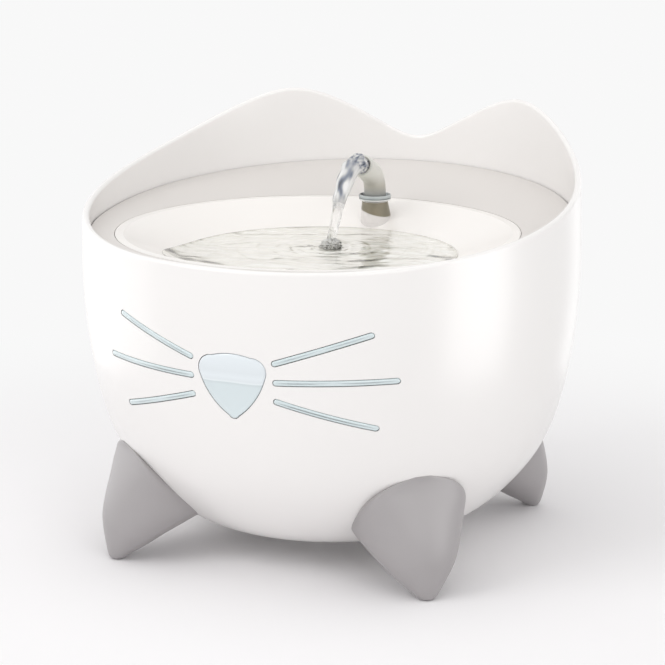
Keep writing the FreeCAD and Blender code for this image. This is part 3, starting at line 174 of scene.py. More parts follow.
# one finish for each slot of the record
finishes = {
    "white_shell": makeFinish("shellGloss", colour=(0.90, 0.88, 0.868), fade=0.985, roughness=0.34,
                              coat=0.8, coatRoughness=0.24, grain=500, blotch=9, bump=0.03, depth=0.04),
    "clear_window": makeFinish("windowClear", colour=(0.80, 0.90, 0.92), clear=0.7, roughness=0.08,
                               spread=0.03),
    "soft_seal": makeFinish("sealSoft", colour=(0.66, 0.67, 0.67), roughness=0.7, bump=0.2, grain=1500),
    "grey_foot": makeFinish("footSatin", colour=(0.395, 0.375, 0.38), fade=0.93, roughness=0.42,
                            coat=0.12, coatRoughness=0.3, grain=1400, blotch=26, bump=0.16, depth=0.06),
    "pale_surround": makeFinish("surroundSatin", colour=(0.715, 0.685, 0.66), fade=0.985, roughness=0.46,
                                grain=1600, blotch=14, bump=0.10),
    "dish_white": makeFinish("dishGloss", colour=(0.93, 0.90, 0.87), fade=0.985, roughness=0.3, coat=0.4,
                             coatRoughness=0.08, grain=600, blotch=12, bump=0.03),
    "clear_riser": makeFinish("riserClear", colour=(0.985, 0.945, 0.925), clear=0.22, ior=1.35,
                              roughness=0.10, spread=0.04, coat=0.6, grain=260, bump=0.25, depth=0.25),
    "clear_collar": makeFinish("collarClear", colour=(0.62, 0.68, 0.69), clear=0.55, ior=1.46,
                               roughness=0.10, spread=0.04, coat=0.6, grain=420, bump=0.1),
    "elbow_white": makeFinish("elbowSilicone", colour=(0.70, 0.69, 0.64), fade=0.9, roughness=0.42,
                              milky=0.35, coat=0.25, coatRoughness=0.25, grain=700, blotch=90, bump=0.12,
                              depth=0.08),
    "basket_white": makeFinish("basketPlastic", colour=(0.80, 0.80, 0.79), roughness=0.45, bump=0.12),
    "foam": makeFinish("foamOpen", colour=(0.84, 0.84, 0.80), dark=(0.5, 0.5, 0.46), pattern="cells",
                       grain=750, roughness=0.92, bump=0.9, depth=0.5),
    "carbon": makeFinish("carbonFelt", colour=(0.045, 0.045, 0.05), dark=(0.012, 0.012, 0.014),
                         pattern="cells", grain=1300, roughness=0.9, sheen=0.3, bump=0.8, depth=0.3),
    "hose_clear": makeFinish("hoseSilicone", colour=(0.80, 0.82, 0.82), clear=0.35, roughness=0.3,
                             bump=0.1),
    "pump_dark": makeFinish("pumpPlastic", colour=(0.055, 0.06, 0.065), fade=0.8, roughness=0.5,
                            grain=1800, bump=0.3),
    "rubber_black": makeFinish("rubberMatt", colour=(0.03, 0.03, 0.031), fade=0.7, roughness=0.75,
                               bump=0.25),
    "shaft_ceramic": makeFinish("shaftPolished", colour=(0.86, 0.85, 0.81), roughness=0.15, coat=0.5),
    "magnet": makeFinish("magnetFerrite", colour=(0.10, 0.10, 0.11), dark=(0.05, 0.05, 0.055),
                         grain=2200, roughness=0.55, metal=0.3, bump=0.4),
    "impeller_white": makeFinish("impellerPlastic", colour=(0.80, 0.81, 0.81), roughness=0.38, bump=0.1),
    "stator_steel": makeFinish("statorSheets", colour=(0.50, 0.50, 0.52), dark=(0.22, 0.22, 0.23),
                               metal=1.0, pattern="bands", axis="Y", grain=320, roughness=0.35, bump=0.6,
                               depth=0.2),
    "copper": makeFinish("coilWire", colour=(0.70, 0.30, 0.13), dark=(0.32, 0.11, 0.04), metal=1.0,
                         pattern="bands", axis="Y", grain=520, roughness=0.28, bump=0.9, depth=0.3),
    "circuit_board": makeFinish("boardLacquer", colour=(0.02, 0.16, 0.07), dark=(0.03, 0.25, 0.11),
                                pattern="cells", grain=260, roughness=0.3, coat=0.5, bump=0.3),
}
for part in frame["record"]["subparts"]:
    for place in nodes[part["node"]].material_slots:
        place.material = finishes[part["material_slot"]]
print("finishes ready:", len(finishes))


# Mesh helpers

def newPiece(name, corners, faces, material):
    mesh = bpy.data.meshes.new(name)
    mesh.from_pydata([tuple(corner) for corner in corners], [], faces)
    mesh.validate()
    mesh.polygons.foreach_set("use_smooth", [True] * len(mesh.polygons))
    mesh.materials.append(material)
    piece = bpy.data.objects.new(name, mesh)
    scene.collection.objects.link(piece)
    return piece


def settle(piece, body, slotName, *replaced):
    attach(piece, body)
    if replaced:
        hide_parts(*replaced)
    return piece


def joinRings(low, high, around):    # low and high are the first corners of two rings
    return [(low + step, low + (step + 1) % around, high + (step + 1) % around, high + step)
            for step in range(around)]


def ringFaces(rings, around, first=0):
    faces = []
    for row in range(rings - 1):
        faces += joinRings(first + row * around, first + (row + 1) * around, around)
    return faces


def cap(first, count, flipped=False):
    face = range(first, first + count)
    return tuple(reversed(face)) if flipped else tuple(face)


def cleanUp(piece, distance=0.01 * mm):
    work = bmesh.new()
    work.from_mesh(piece.data)
    bmesh.ops.remove_doubles(work, verts=work.verts, dist=distance)
    bmesh.ops.dissolve_degenerate(work, edges=work.edges, dist=distance)
    bmesh.ops.recalc_face_normals(work, faces=work.faces)
    work.to_mesh(piece.data)
    work.free()
    return piece


def crease(piece, degrees):    # edges that bend more than this stay sharp
    piece.data.set_sharp_from_angle(angle=radians(degrees))
    return piece


def applyModifiers(piece):
    bpy.context.view_layer.update()
    graph = bpy.context.evaluated_depsgraph_get()
    mesh = bpy.data.meshes.new_from_object(piece.evaluated_get(graph))
    piece.modifiers.clear()
    piece.data = mesh
    return piece


def tonedPiece(name, corners, faces, material, tones, clarities):    # a tone and a clarity for each corner
    piece = newPiece(name, corners, faces, material)
    for kind, values in (("tone", tones), ("clarity", clarities)):
        attribute = piece.data.attributes.new(kind, "FLOAT", "POINT")
        attribute.data.foreach_set("value", values)
    return piece


def darkBand(value, centre, width):    # 1 at the centre, 0 well away from it
    return exp(-((value - centre) / width) ** 2)


def treeOf(name):
    return BVHTree.FromObject(nodes[name], bpy.context.evaluated_depsgraph_get())


def polar(radius, angle, height):    # angle counts from the front towards +X
    return Vector((radius * sin(angle), -radius * cos(angle), height))


def spread(first, last, count):
    return [first + (last - first) * step / count for step in range(count + 1)]


def allRound(count):
    return [tau * step / count for step in range(count)]


downward = Vector((0, 0, -1))


# Bowl

bowl = {
    "around": 420,          # columns round the bowl
    "earAngle": 148,        # degrees from the front, where the wall is highest
    "mouthRadius": 117 * mm,
    "rimRound": 1.7 * mm,   # height of the rounded top edge
    "upperFrom": 148 * mm,  # rows above this follow the top edge
    "upperTo": 206 * mm,
    "underside": (20 * mm, 100 * mm),   # radii
    "cavity": (131 * mm, 48 * mm),      # heights
    "ledge": [(117, 138), (113.2, 138), (113, 137.8), (113, 137.2), (113.2, 137), (117, 133)],
    "overLedge": 138.2 * mm,
    # numbers of rows, from under the bowl over the edge to the floor of the cavity
    "undersideRows": 36, "sideRows": 44, "upperRows": 18, "edgeRows": 10, "mouthRows": 20,
    "cavityRows": 34, "floorRows": 34, "tableRows": 30,
}
shellTree = treeOf("reservoir_shell")
sampleTurn = radians(bowl["earAngle"])


def outerRadius(height):
    start = polar(300 * mm, sampleTurn, height)
    hit = shellTree.ray_cast(start, -polar(1, sampleTurn, 0))[0]
    return hypot(hit.x, hit.y)


def innerRadius(height):
    hit = shellTree.ray_cast(Vector((0, 0, height)), polar(1, sampleTurn, 0))[0]
    return hypot(hit.x, hit.y)


def bottomHeight(radius, fromInside):
    start = polar(radius, sampleTurn, 90 * mm if fromInside else -20 * mm)
    return shellTree.ray_cast(start, downward if fromInside else -downward)[0].z


def topEdge(angle):
    start = polar(bowl["mouthRadius"] + 0.5 * mm, angle, 300 * mm)
    return shellTree.ray_cast(start, downward)[0].z


def makeBowl():
    low, mouth, upper, count = 0.05 * mm, bowl["mouthRadius"], bowl["upperFrom"], bowl["tableRows"]
    radii = [low] + spread(*bowl["underside"], bowl["undersideRows"])
    outside = [(radius, bottomHeight(radius, False)) for radius in radii]
    heights = spread(outside[-1][1] + 2 * mm, upper, bowl["sideRows"])
    outside += [(outerRadius(height), height) for height in heights]
    inside = [(radius * mm, height * mm) for radius, height in bowl["ledge"]]
    inside += [(innerRadius(height), height) for height in spread(*bowl["cavity"], bowl["cavityRows"])]
    radii = spread(inside[-1][0] - 2 * mm, low, bowl["floorRows"])
    inside += [(radius, bottomHeight(radius, True)) for radius in radii]
    table = [(height, outerRadius(height)) for height in spread(upper, bowl["upperTo"], count)]

    def outerAt(height):    # from the table, which is quicker than a ray for each corner
        share = (height - upper) / (table[-1][0] - upper) * count
        index = min(int(share), count - 1)
        return table[index][1] + (table[index + 1][1] - table[index][1]) * (share - index)

    columns = []
    for angle in allRound(bowl["around"]):
        shoulder = topEdge(angle) - bowl["rimRound"]
        heights = spread(upper, shoulder, bowl["upperRows"])[1:]
        column = outside + [(outerAt(height), height) for height in heights]
        half = (outerAt(shoulder) - mouth) / 2
        for turn in spread(0, pi, bowl["edgeRows"])[1:]:
            height = shoulder + bowl["rimRound"] * sin(turn)
            column.append((mouth + half + half * cos(turn), height))
        heights = spread(shoulder, bowl["overLedge"], bowl["mouthRows"])[1:]
        column += [(mouth, height) for height in heights]
        columns.append([polar(radius, angle, height) for radius, height in column + inside])
    rows = len(columns[0])
    corners = [column[row] for row in range(rows) for column in columns]
    skin = newPiece("bowlSkin", corners, ringFaces(rows, bowl["around"]), finishes["white_shell"])
    return cleanUp(skin, 0.02 * mm)


# Nose and whisker windows

window = {
    "noseHalf": 16.6, "noseTop": 118.0, "noseTip": 86.7,
    # right side of the nose from the top down: shares of its half width and of its height
    "noseShape": [(0.57, 0.045), (0.92, 0.13), (1.0, 0.30), (0.69, 0.66), (0.15, 0.955)],
    "whiskerHalf": 1.55,
    # inner and outer end of the right-hand whiskers, across and up from the nose tip
    "whiskers": [((20.5, 27.8), (61.1, 41.2)), ((20.7, 18.8), (70.3, 19.6)), ((20.5, 9.8), (61.0, -2.7))],
    "cutter": (-140, -82),  # from front to back of the body that cuts the windows
    "gap": 0.32,            # between a window and its cut-out
    "waterline": 104.6,     # level seen through the nose
    "waterWave": 2.2, "waterSpan": 14,
    # inset from the outline and height over the wall, from the back to the crown
    "section": [(0.0, -2.9), (0.0, -0.35), (0.10, -0.05), (0.32, 0.14), (0.62, 0.24), (0.95, 0.28)],
    "crown": 0.30, "crownRings": (0.8, 0.55, 0.3, 0.02),    # rings as shares of the last one
    "back": -2.95, "backShare": 0.98,
}


def arcPoints(first, middle, last, count):
    ax, az = first
    bx, bz = middle
    cx, cz = last
    double = 2 * (ax * (bz - cz) + bx * (cz - az) + cx * (az - bz))
    aa, bb, cc = ax * ax + az * az, bx * bx + bz * bz, cx * cx + cz * cz
    ox = (aa * (bz - cz) + bb * (cz - az) + cc * (az - bz)) / double
    oz = (aa * (cx - bx) + bb * (ax - cx) + cc * (bx - ax)) / double
    radius = hypot(ax - ox, az - oz)
    begin, end = atan2(az - oz, ax - ox), atan2(cz - oz, cx - ox)
    while end > begin:
        end -= tau
    turns = spread(begin, end, count)[:-1]
    return [(ox + radius * cos(turn), oz + radius * sin(turn)) for turn in turns]


def noseOutline():
    wide, top, tip = window["noseHalf"], window["noseTop"], window["noseTip"]
    right = [(across * wide, top - down * (top - tip)) for across, down in window["noseShape"]]
    left = [(-x, z) for x, z in right]
    points = arcPoints(left[0], (0, top), right[0], 24)
    points += arcPoints(*right[:3], 14) + arcPoints(*right[2:], 26)
    points += arcPoints(right[4], (0, tip), left[4], 10)
    return points + arcPoints(left[4], left[3], left[2], 26) + arcPoints(left[2], left[1], left[0], 14)


def whiskerOutline(start, end):
    half = window["whiskerHalf"]
    turn = atan2(end[1] - start[1], end[0] - start[0])
    points = []
    for here, there, opening in ((end, start, turn + pi / 2), (start, end, turn - pi / 2)):
        for angle in spread(opening, opening - pi, 10):
            points.append((here[0] + half * cos(angle), here[1] + half * sin(angle)))
        across, up = half * cos(opening - pi), half * sin(opening - pi)
        for share in spread(0, 1, 16)[1:-1]:
            points.append((here[0] + (there[0] - here[0]) * share + across,
                           here[1] + (there[1] - here[1]) * share + up))
    return points


def insetOutline(points, inset):
    moved = []
    for index, (x, z) in enumerate(points):
        before, after = points[index - 1], points[(index + 1) % len(points)]
        run = Vector((after[0] - before[0], after[1] - before[1])).normalized()
        moved.append((x + run.y * inset, z - run.x * inset))
    return moved


def onWall(x, z, proud):
    radius = outerRadius(z * mm) + proud * mm
    return Vector((x * mm, -sqrt(radius * radius - x * x * mm * mm), z * mm))


def outlines():
    tip = window["noseTip"]
    found = {"nose": noseOutline()}
    for index, (start, end) in enumerate(window["whiskers"]):
        right = whiskerOutline((start[0], tip + start[1]), (end[0], tip + end[1]))
        found["whiskerRight%d" % (index + 1)] = right
        found["whiskerLeft%d" % (index + 1)] = [(-x, z) for x, z in reversed(right)]
    return found


def makeCutter(shapes):
    corners, faces = [], []
    for points in shapes.values():
        first, count = len(corners), len(points)
        for depth in window["cutter"]:
            corners += [Vector((x * mm, depth * mm, z * mm)) for x, z in points]
        faces += ringFaces(2, count, first) + [cap(first, count, True), cap(first + count, count)]
    return cleanUp(newPiece("windowCutter", corners, faces, finishes["white_shell"]))


def cutWindows(skin, shapes):
    cutter = makeCutter(shapes)
    modifier = skin.modifiers.new("windows", "BOOLEAN")
    modifier.object = cutter
    modifier.operation = "DIFFERENCE"
    modifier.solver = "EXACT"
    applyModifiers(skin)
    bpy.data.objects.remove(cutter)
    crease(skin, 38)
    weighted = skin.modifiers.new("normals", "WEIGHTED_NORMAL")
    weighted.keep_sharp = True
    weighted.weight = 90
    return applyModifiers(skin)


def makeWindowGlass(name, tint, lower, waterline):
    material, tree, shader = newShader(name)
    where = objectSpace(tree)
    split = addNode(tree, "ShaderNodeSeparateXYZ", Vector=where)
    wave = addNoise(tree, where, 60.0)
    lift = addNode(tree, "ShaderNodeMath", {"operation": "MULTIPLY_ADD"})
    tree.links.new(wave, lift.inputs[0])
    lift.inputs[1].default_value = window["waterWave"] * mm
    tree.links.new(split.outputs["Z"], lift.inputs[2])
    level = addNode(tree, "ShaderNodeMapRange", Value=lift.outputs[0])
    span = window["waterSpan"]
    setInputs(level, {"From Min": (waterline - span) * mm, "From Max": (waterline + span) * mm})
    # water below, a painted highlight as a bright line at the level, the tint above
    colour = addRamp(tree, level.outputs[0], [
        (0.0, lower), (0.47, shade(lower, 0.97)), (0.515, shade(lower, 0.90)), (0.535, (0.90, 0.96, 0.99)),
        (0.56, shade(tint, 0.95)), (0.62, tint), (0.70, shade(tint, 0.95)), (1.0, shade(tint, 1.03)),
    ])
    tree.links.new(colour, shader.inputs["Base Color"])
    addBump(tree, shader, wave, 0.1, 0.2)
    setInputs(shader, {"Roughness": 0.12, "Coat Weight": 0.8, "Coat Roughness": 0.03,
                       "Transmission Weight": 0.12})
    return material


def makeWindow(name, points, material):
    rings = [insetOutline(points, window["gap"] + inset) for inset, proud in window["section"]]
    heights = [proud for inset, proud in window["section"]]
    crown, count = rings[-1], len(points)
    middleX, middleZ = sum(x for x, z in crown) / count, sum(z for x, z in crown) / count

    def smaller(ring, share):
        return [(middleX + (x - middleX) * share, middleZ + (z - middleZ) * share) for x, z in ring]

    if name == "noseWindow":
        rings += [smaller(crown, share) for share in window["crownRings"]]
        heights += [window["crown"]] * len(window["crownRings"])
    corners = [onWall(x, z, proud) for ring, proud in zip(rings, heights) for x, z in ring]
    first = len(corners)
    corners += [onWall(x, z, window["back"]) for x, z in smaller(rings[0], window["backShare"])]
    faces = ringFaces(len(rings), count) + joinRings(0, first, count)
    faces += [cap(first, count), cap(first - count, count, True)]
    return crease(cleanUp(newPiece(name, corners, faces, material)), 50)


# clear sheet behind the windows, its front this far in from the outside of the wall
plate = {"rows": 14, "columns": 60, "thick": 2.4, "front": 3.9, "low": 79.4, "high": 131, "half": 75.5}


def makePlate(material):
    rows, columns = plate["rows"], plate["columns"]
    corners = []
    for inset in (plate["front"] * mm, plate["front"] * mm + plate["thick"] * mm):
        for height in spread(plate["low"] * mm, plate["high"] * mm, rows - 1):
            radius = outerRadius(height) - inset
            reach = asin(plate["half"] * mm / radius)
            corners += [polar(radius, angle, height) for angle in spread(-reach, reach, columns - 1)]
    faces = []
    layer = rows * columns
    for row in range(rows - 1):
        for step in range(columns - 1):
            at = row * columns + step
            faces.append((at, at + 1, at + columns + 1, at + columns))
            faces.append((layer + at, layer + at + columns, layer + at + columns + 1, layer + at + 1))
    border = list(range(columns)) + [row * columns + columns - 1 for row in range(1, rows)]
    border += [layer - 1 - step for step in range(1, columns)]
    border += [row * columns for row in range(rows - 2, 0, -1)]
    for here, after in zip(border, border[1:] + border[:1]):
        faces.append((after, here, here + layer, after + layer))
    return crease(cleanUp(newPiece("windowPlate", corners, faces, material)), 40)


shapes = outlines()
bowlSkin = settle(cutWindows(makeBowl(), shapes), "reservoir", "white_shell", "reservoir_shell")
print("bowl cut:", len(bowlSkin.data.polygons), "faces")
noseGlass = makeWindowGlass("noseGlass", (0.88, 0.94, 0.98), (0.78, 0.87, 0.90), window["waterline"])
whiskerGlass = makeWindowGlass("whiskerGlass", (0.74, 0.84, 0.86), (0.72, 0.83, 0.85), 60.0)
for name, points in shapes.items():
    if name == "nose":
        settle(makeWindow("noseWindow", points, noseGlass), "reservoir", "clear_window", "window_lens")
    else:
        settle(makeWindow(name, points, whiskerGlass), "reservoir", "clear_window")
settle(makePlate(finishes["clear_window"]), "reservoir", "clear_window")
print("windows ready:", len(shapes))


# Feet: smooth toes that run into the belly

feet = {
    "around": 80, "rows": 70, "top": 57.2,
    "rowPower": 1.4,        # rows are closer near the floor
    "wallInset": 0.2,       # where the centre is on the wall, this far inside it
    "sunk": 0.8,            # back of a foot, behind the outside of the bowl
    "bellyFrom": 13,        # height from which the back follows the bowl
    # height, outermost radius, centre (0 is on the wall), half width
    "stations": [
        (0.0, 114.0, 111.9, 2.1), (0.3, 115.2, 111.9, 3.3), (1.1, 116.1, 111.7, 4.5),
        (2.6, 116.7, 111.1, 6.0), (7.5, 117.4, 107.0, 11.0), (14.0, 118.2, 102.0, 16.9),
        (20.0, 118.5, 96.0, 21.1), (27.0, 117.4, 89.0, 25.0), (34.5, 115.1, 0, 26.0),
        (44.0, 111.2, 0, 24.9), (50.0, 108.5, 0, 20.8), (54.5, 107.4, 0, 13.6), (57.2, 107.6, 0, 4.0),
    ],
    "turns": {"foot_front_right": 45, "foot_front_left": -45, "foot_back_right": 135,
              "foot_back_left": -135},
}


def smoothTable(table, place):    # the other columns of a table at a place of its first column
    last = len(table) - 1
    at = max(index for index in range(last) if table[index][0] <= place)
    before, here, after, beyond = (table[min(max(at + step, 0), last)] for step in (-1, 0, 1, 2))
    span = after[0] - here[0]
    share = (place - here[0]) / span
    values = []
    for first, low, high, final in list(zip(before, here, after, beyond))[1:]:
        startSlope = (high - first) / (after[0] - before[0])
        endSlope = (final - low) / (beyond[0] - here[0])
        values.append(low * (2 * share ** 3 - 3 * share ** 2 + 1) + high * (3 * share ** 2 - 2 * share ** 3)
                      + span * startSlope * (share ** 3 - 2 * share ** 2 + share)
                      + span * endSlope * (share ** 3 - share ** 2))
    return values


def makeFoot(name, turn):
    count, top = feet["around"], feet["top"]
    table = [(height, outer, centre or outerRadius(height * mm) / mm - feet["wallInset"], half)
             for height, outer, centre, half in feet["stations"]]
    corners = []
    for share in spread(0, 1, feet["rows"] - 1):
        height = top * share ** feet["rowPower"]
        outer, centre, half = smoothTable(table, min(height, top - 0.001))
        inner = outerRadius(height * mm) / mm - feet["sunk"] if height > feet["bellyFrom"] else 0
        for angle in allRound(count):
            out, across = centre + (outer - centre) * cos(angle), half * sin(angle)
            radius = max(hypot(out, across), inner)
            corners.append(polar(radius * mm, radians(turn) + atan2(across, out), height * mm))
    faces = ringFaces(feet["rows"], count) + [cap(0, count, True), cap(len(corners) - count, count)]
    return crease(cleanUp(newPiece(name, corners, faces, finishes["grey_foot"])), 60)


for name, turn in feet["turns"].items():
    settle(makeFoot(name + "_skin", turn), "reservoir", "grey_foot", name)
print("feet ready:", len(feet["turns"]))


# Spout elbow, soft silicone with a rolled lip

elbow = {
    "axisBack": 58.0, "foot": 159.7, "corner": 169.7, "bend": 12.5, "turn": 64.0, "run": 20.0,
    "around": 64, "steps": 40,
    # share of the length, outside radius
    "outside": [(0.0, 5.5), (0.05, 5.6), (0.12, 5.45), (0.35, 5.5), (0.62, 5.75), (0.9, 5.7), (1.0, 5.5)],
    # the mouth: way out from the end of the path, radius, from the lip into the bore
    "lip": [(0.0, 4.9), (-0.05, 4.3), (-0.3, 3.9), (-4.0, 3.9), (-12.0, 3.9)],
    # tone: painted shade, darker near the collar and paler further up, and an even painted shade inside the
    # mouth
    "toneLow": 0.30, "toneRise": 1.1, "toneTall": 22, "toneMost": 0.95, "paintedShadeInside": 0.55,
}


def alongTable(table, share):
    for (low, first), (high, last) in zip(table, table[1:]):
        if share <= high:
            blend = (share - low) / (high - low)
            blend = blend * blend * (3 - 2 * blend)
            return first + (last - first) * blend
    return table[-1][1]


def elbowPath(count):
    turn = radians(elbow["turn"])
    back = elbow["bend"] * tan(turn / 2)
    straight = elbow["corner"] - back - elbow["foot"]
    tail = elbow["run"] - back
    arc = elbow["bend"] * turn
    total = straight + arc + tail
    points = []
    for travelled in spread(0, total, count):
        if travelled < straight:
            points.append(Vector((0, elbow["axisBack"], elbow["foot"] + travelled)))
            continue
        swept = min((travelled - straight) / elbow["bend"], turn)
        rest = max(travelled - straight - arc, 0)
        y = elbow["axisBack"] - elbow["bend"] * (1 - cos(swept)) - rest * sin(turn)
        z = elbow["corner"] - back + elbow["bend"] * sin(swept) + rest * cos(turn)
        points.append(Vector((0, y, z)))
    return [point * mm for point in points]


def hoop(point, ahead, around, sizeAt):
    side = Vector((1, 0, 0))
    up = side.cross(ahead).normalized()
    return [point + (side * cos(angle) + up * sin(angle)) * sizeAt(angle)
            for angle in allRound(around)]


def sweep(path, radii, around, wobble=lambda share, angle: 1):
    corners = []
    last = len(path) - 1
    for index, (point, radius) in enumerate(zip(path, radii)):
        ahead = path[min(index + 1, last)] - path[max(index - 1, 0)]
        corners += hoop(point, ahead, around, lambda angle: radius * wobble(index / last, angle))
    return corners


def makeElbow():
    count, steps = elbow["around"], elbow["steps"]
    path = elbowPath(steps)
    radii = [alongTable(elbow["outside"], index / steps) * mm for index in range(steps + 1)]
    corners = sweep(path, radii, count)
    ahead = (path[-1] - path[-2]).normalized()
    for out, radius in elbow["lip"]:
        corners += hoop(path[-1] + ahead * out * mm, ahead, count, lambda angle: radius * mm)
    faces = ringFaces(len(corners) // count, count)
    faces += [cap(0, count, True), cap(len(corners) - count, count)]
    stops = [(0.0, (0.07, 0.07, 0.065)), (0.3, (0.30, 0.31, 0.31)), (0.6, (0.56, 0.54, 0.48)),
             (0.8, (0.72, 0.71, 0.66)), (1.0, (0.84, 0.84, 0.79))]
    # painted shade on the elbow: darker low down by the collar and inside the mouth
    tones = []
    for index, corner in enumerate(corners):
        height = (corner.z / mm - elbow["foot"]) / elbow["toneTall"]
        outer = index < (steps + 2) * count     # the outside and the first ring of the lip
        tone = min(elbow["toneMost"], elbow["toneLow"] + elbow["toneRise"] * height)
        tones.append(tone if outer else elbow["paintedShadeInside"])
    material = makeToneShader("elbowSilicone", stops, 0.4, 1.42)
    piece = tonedPiece("spoutElbow", corners, faces, material, tones, [0.08] * len(corners))
    return crease(cleanUp(piece), 60)


settle(makeElbow(), "spout", "elbow_white", "spout_elbow")


# Clear collar: a dished flange on a stub

collar = {
    "around": 96,
    # radius, height and tone, up the outside, over the lip and back to the axis:
    # a painted highlight white under the flange, painted shade in a dark groove, pale above
    "profile": [
        (3.0, 147.9, 0.7), (4.3, 147.9, 0.7), (4.4, 148.2, 0.7), (4.4, 157.9, 0.75), (6.8, 157.9, 0.95),
        (7.6, 158.05, 1.0), (8.0, 158.4, 1.0), (8.15, 158.8, 0.9), (8.0, 159.15, 0.25), (8.1, 159.5, 0.6),
        (8.2, 160.0, 0.66), (8.15, 160.5, 0.7), (7.95, 160.8, 0.74), (7.7, 160.9, 0.7), (7.45, 160.6, 0.62),
        (7.2, 160.0, 0.58), (6.4, 159.6, 0.6), (3.0, 159.6, 0.6),
    ],
    "dark": -82, "darkWidth": 24, "darkFrom": 158.6,    # a painted dark reflection, a crescent on the left of the flange
}


def makeCollar():
    corners, tones = [], []
    axis = Vector((0, elbow["axisBack"] * mm, 0))
    count = collar["around"]
    for radius, height, tone in collar["profile"]:
        for step in range(count):
            degrees = 360 * step / count - 180
            corners.append(axis + polar(radius * mm, radians(degrees), height * mm))
            # painted dark reflection on the upper left of the flange
            darkReflection = darkBand(degrees, collar["dark"], collar["darkWidth"])
            tones.append(tone * (1 - (darkReflection if height > collar["darkFrom"] else 0)))
    faces = ringFaces(len(collar["profile"]), count) + joinRings(len(corners) - count, 0, count)
    stops = [(0.0, (0.01, 0.01, 0.012)), (0.3, (0.14, 0.15, 0.15)), (0.62, (0.50, 0.55, 0.56)),
             (0.8, (0.70, 0.74, 0.74)), (1.0, (0.97, 0.97, 0.97))]
    material = makeToneShader("collarClear", stops, 0.12, 1.46)
    return cleanUp(tonedPiece("collarFlange", corners, faces, material, tones, [0.15] * len(corners)))


settle(makeCollar(), "collar", "clear_collar", "spout_collar")


# Shade on the riser, below the collar: a thin slanted sleeve

sleeve = {
    "around": 96, "rows": 8,
    "top": 157.3, "left": 153.4, "right": 149.9,    # upper edge, lower edge on each side
    "layers": (-0.2, 0.2),  # its two faces, measured inwards from the riser's surface
}


def makeSleeve():
    riserTree = treeOf("spout_riser")
    count, rings = sleeve["around"], sleeve["rows"] + 1
    corners = []
    for depth in sleeve["layers"]:
        for share in spread(0, 1, sleeve["rows"]):
            for angle in allRound(count):
                edge = sleeve["left"] + (sleeve["right"] - sleeve["left"]) * (0.5 + 0.5 * sin(angle))
                height = (sleeve["top"] + (edge - sleeve["top"]) * share) * mm
                start = Vector((0, elbow["axisBack"] * mm, height)) + polar(40 * mm, angle, 0)
                hit = riserTree.ray_cast(start, -polar(1, angle, 0))[0]
                corners.append(hit - polar(depth * mm, angle, 0))
    faces = ringFaces(rings, count) + ringFaces(rings, count, rings * count)
    for first in (0, (rings - 1) * count):
        faces += joinRings(first, rings * count + first, count)
    olive = makeFinish("riserShade", colour=(0.20, 0.19, 0.14), dark=(0.33, 0.28, 0.20), grain=150,
                       roughness=0.3, clear=0.1, bump=0.2)
    return crease(cleanUp(newPiece("riserShade", corners, faces, olive)), 40)


settle(makeSleeve(), "dish", "clear_riser")
print("spout ready")


# Water in the dish, the stream and its splash

water = {
    "level": 144.2, "landing": (0.0, -2.0), "edge": 67.0, "rings": 120, "around": 320,
    "lean": 9.0, "leanAngle": -50, "leanWidth": 24,     # the pool laps up the dish on the left
    "rippleHeight": 0.35, "rippleLength": 7.5, "rippleReach": 14.0,
    # noise: strength, length to the right, length to the back, seed
    "bend": [(2.5, 17, 17, 1.3)],
    "swell": [(0.5, 16, 7, 3.7), (0.175, 7, 3.2, 9.2)],
    "calm": 5,              # width of the border without waves
    "overDish": 0.12,       # gap between the water and the dish
    "film": 0.2,            # thinnest water on the dish
    "blend": 0.8, "blendDrop": 0.1,     # how softly the level turns into the film
    "hub": 0.02,            # radius of the innermost ring, in rings
    "clarity": (0.22, 0.2),     # of water where the painted reflection is dark, and how much more where it is pale
}
# painted reflections on the water: dark streaks, swirls, threads and a line at the back edge, and pale
# streaks
poolReflections = {
    "plain": 0.82,
    "turned": (0.927, 0.374),   # cosine and sine of the turn to right and back as the camera sees them
    "streak": [(1.0, 15, 3.0, 21.0), (0.5, 6, 1.5, 4.0)],
    "streakFrom": 0.10, "streakDark": 0.50, "streakPale": 0.16,
    "ends": (0.35, 0.65, 60),   # streaks in the middle, how much more at the sides, distance of the sides
    "swirlFrom": 0.12, "swirlDark": 1.5, "swirlReach": 30,  # painted dark swirls of reflection round the place where the stream lands
    "rim": (0.30, 0.6, 1.0, 60),    # painted dark reflection at the back edge: strength, place, width, fade
    "waver": [(2.2, 9, 9, 5.0)],    # bends the threads
    "threadDark": 1.5,
    # painted dark threads of reflection: place to the right and to the back of the pool's middle as the
    # camera sees it,
    # half length, half width, tilt in degrees, strength
    "threads": [(-73, -3, 6, 3.5, 35, 0.8), (-58, -17, 14, 2.6, -32, 0.7), (-62, -8, 9, 1.6, -20, 0.5),
                (-18, -38, 8, 1.6, 0, 0.6), (-20, -13, 4, 1.3, 5, 0.4), (-6, 17, 6, 1.5, 3, 0.55),
                (19, 0, 7, 1.8, 20, 0.55), (23, -16, 11, 2.0, 16, 0.6), (24, -31, 12, 2.4, 18, 0.55),
                (10, -24, 8, 1.3, -6, 0.4), (45, -11, 5, 1.5, 5, 0.4), (59, -7, 7, 1.8, -30, 0.7),
                (62, -15, 5, 2.2, -50, 0.7), (-10, 48, 26, 1.3, 0, 0.35), (20, 49, 14, 1.5, -4, 0.35),
                (-40, 25, 12, 1.2, 24, 0.2), (3, -6, 9, 1.4, -3, 0.35), (36, 14, 10, 1.4, -18, 0.25)],
}
dishLow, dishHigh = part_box("drinking_dish")
dishCentre = Vector((0, (dishLow.y + dishHigh.y) / 2, 0))
dishTree = treeOf("drinking_dish")


def clamp(value, low=0.0, high=1.0):
    return min(high, max(low, value))


def noiseAt(x, y, z):
    return noise.noise(Vector((x, y, z)))


def noiseSum(layers, x, y):
    return sum(strength * noiseAt(x / wide, y / deep, seed) for strength, wide, deep, seed in layers)


def dishHeight(distance):
    return dishTree.ray_cast(Vector((distance, dishCentre.y, 200 * mm)), downward)[0].z


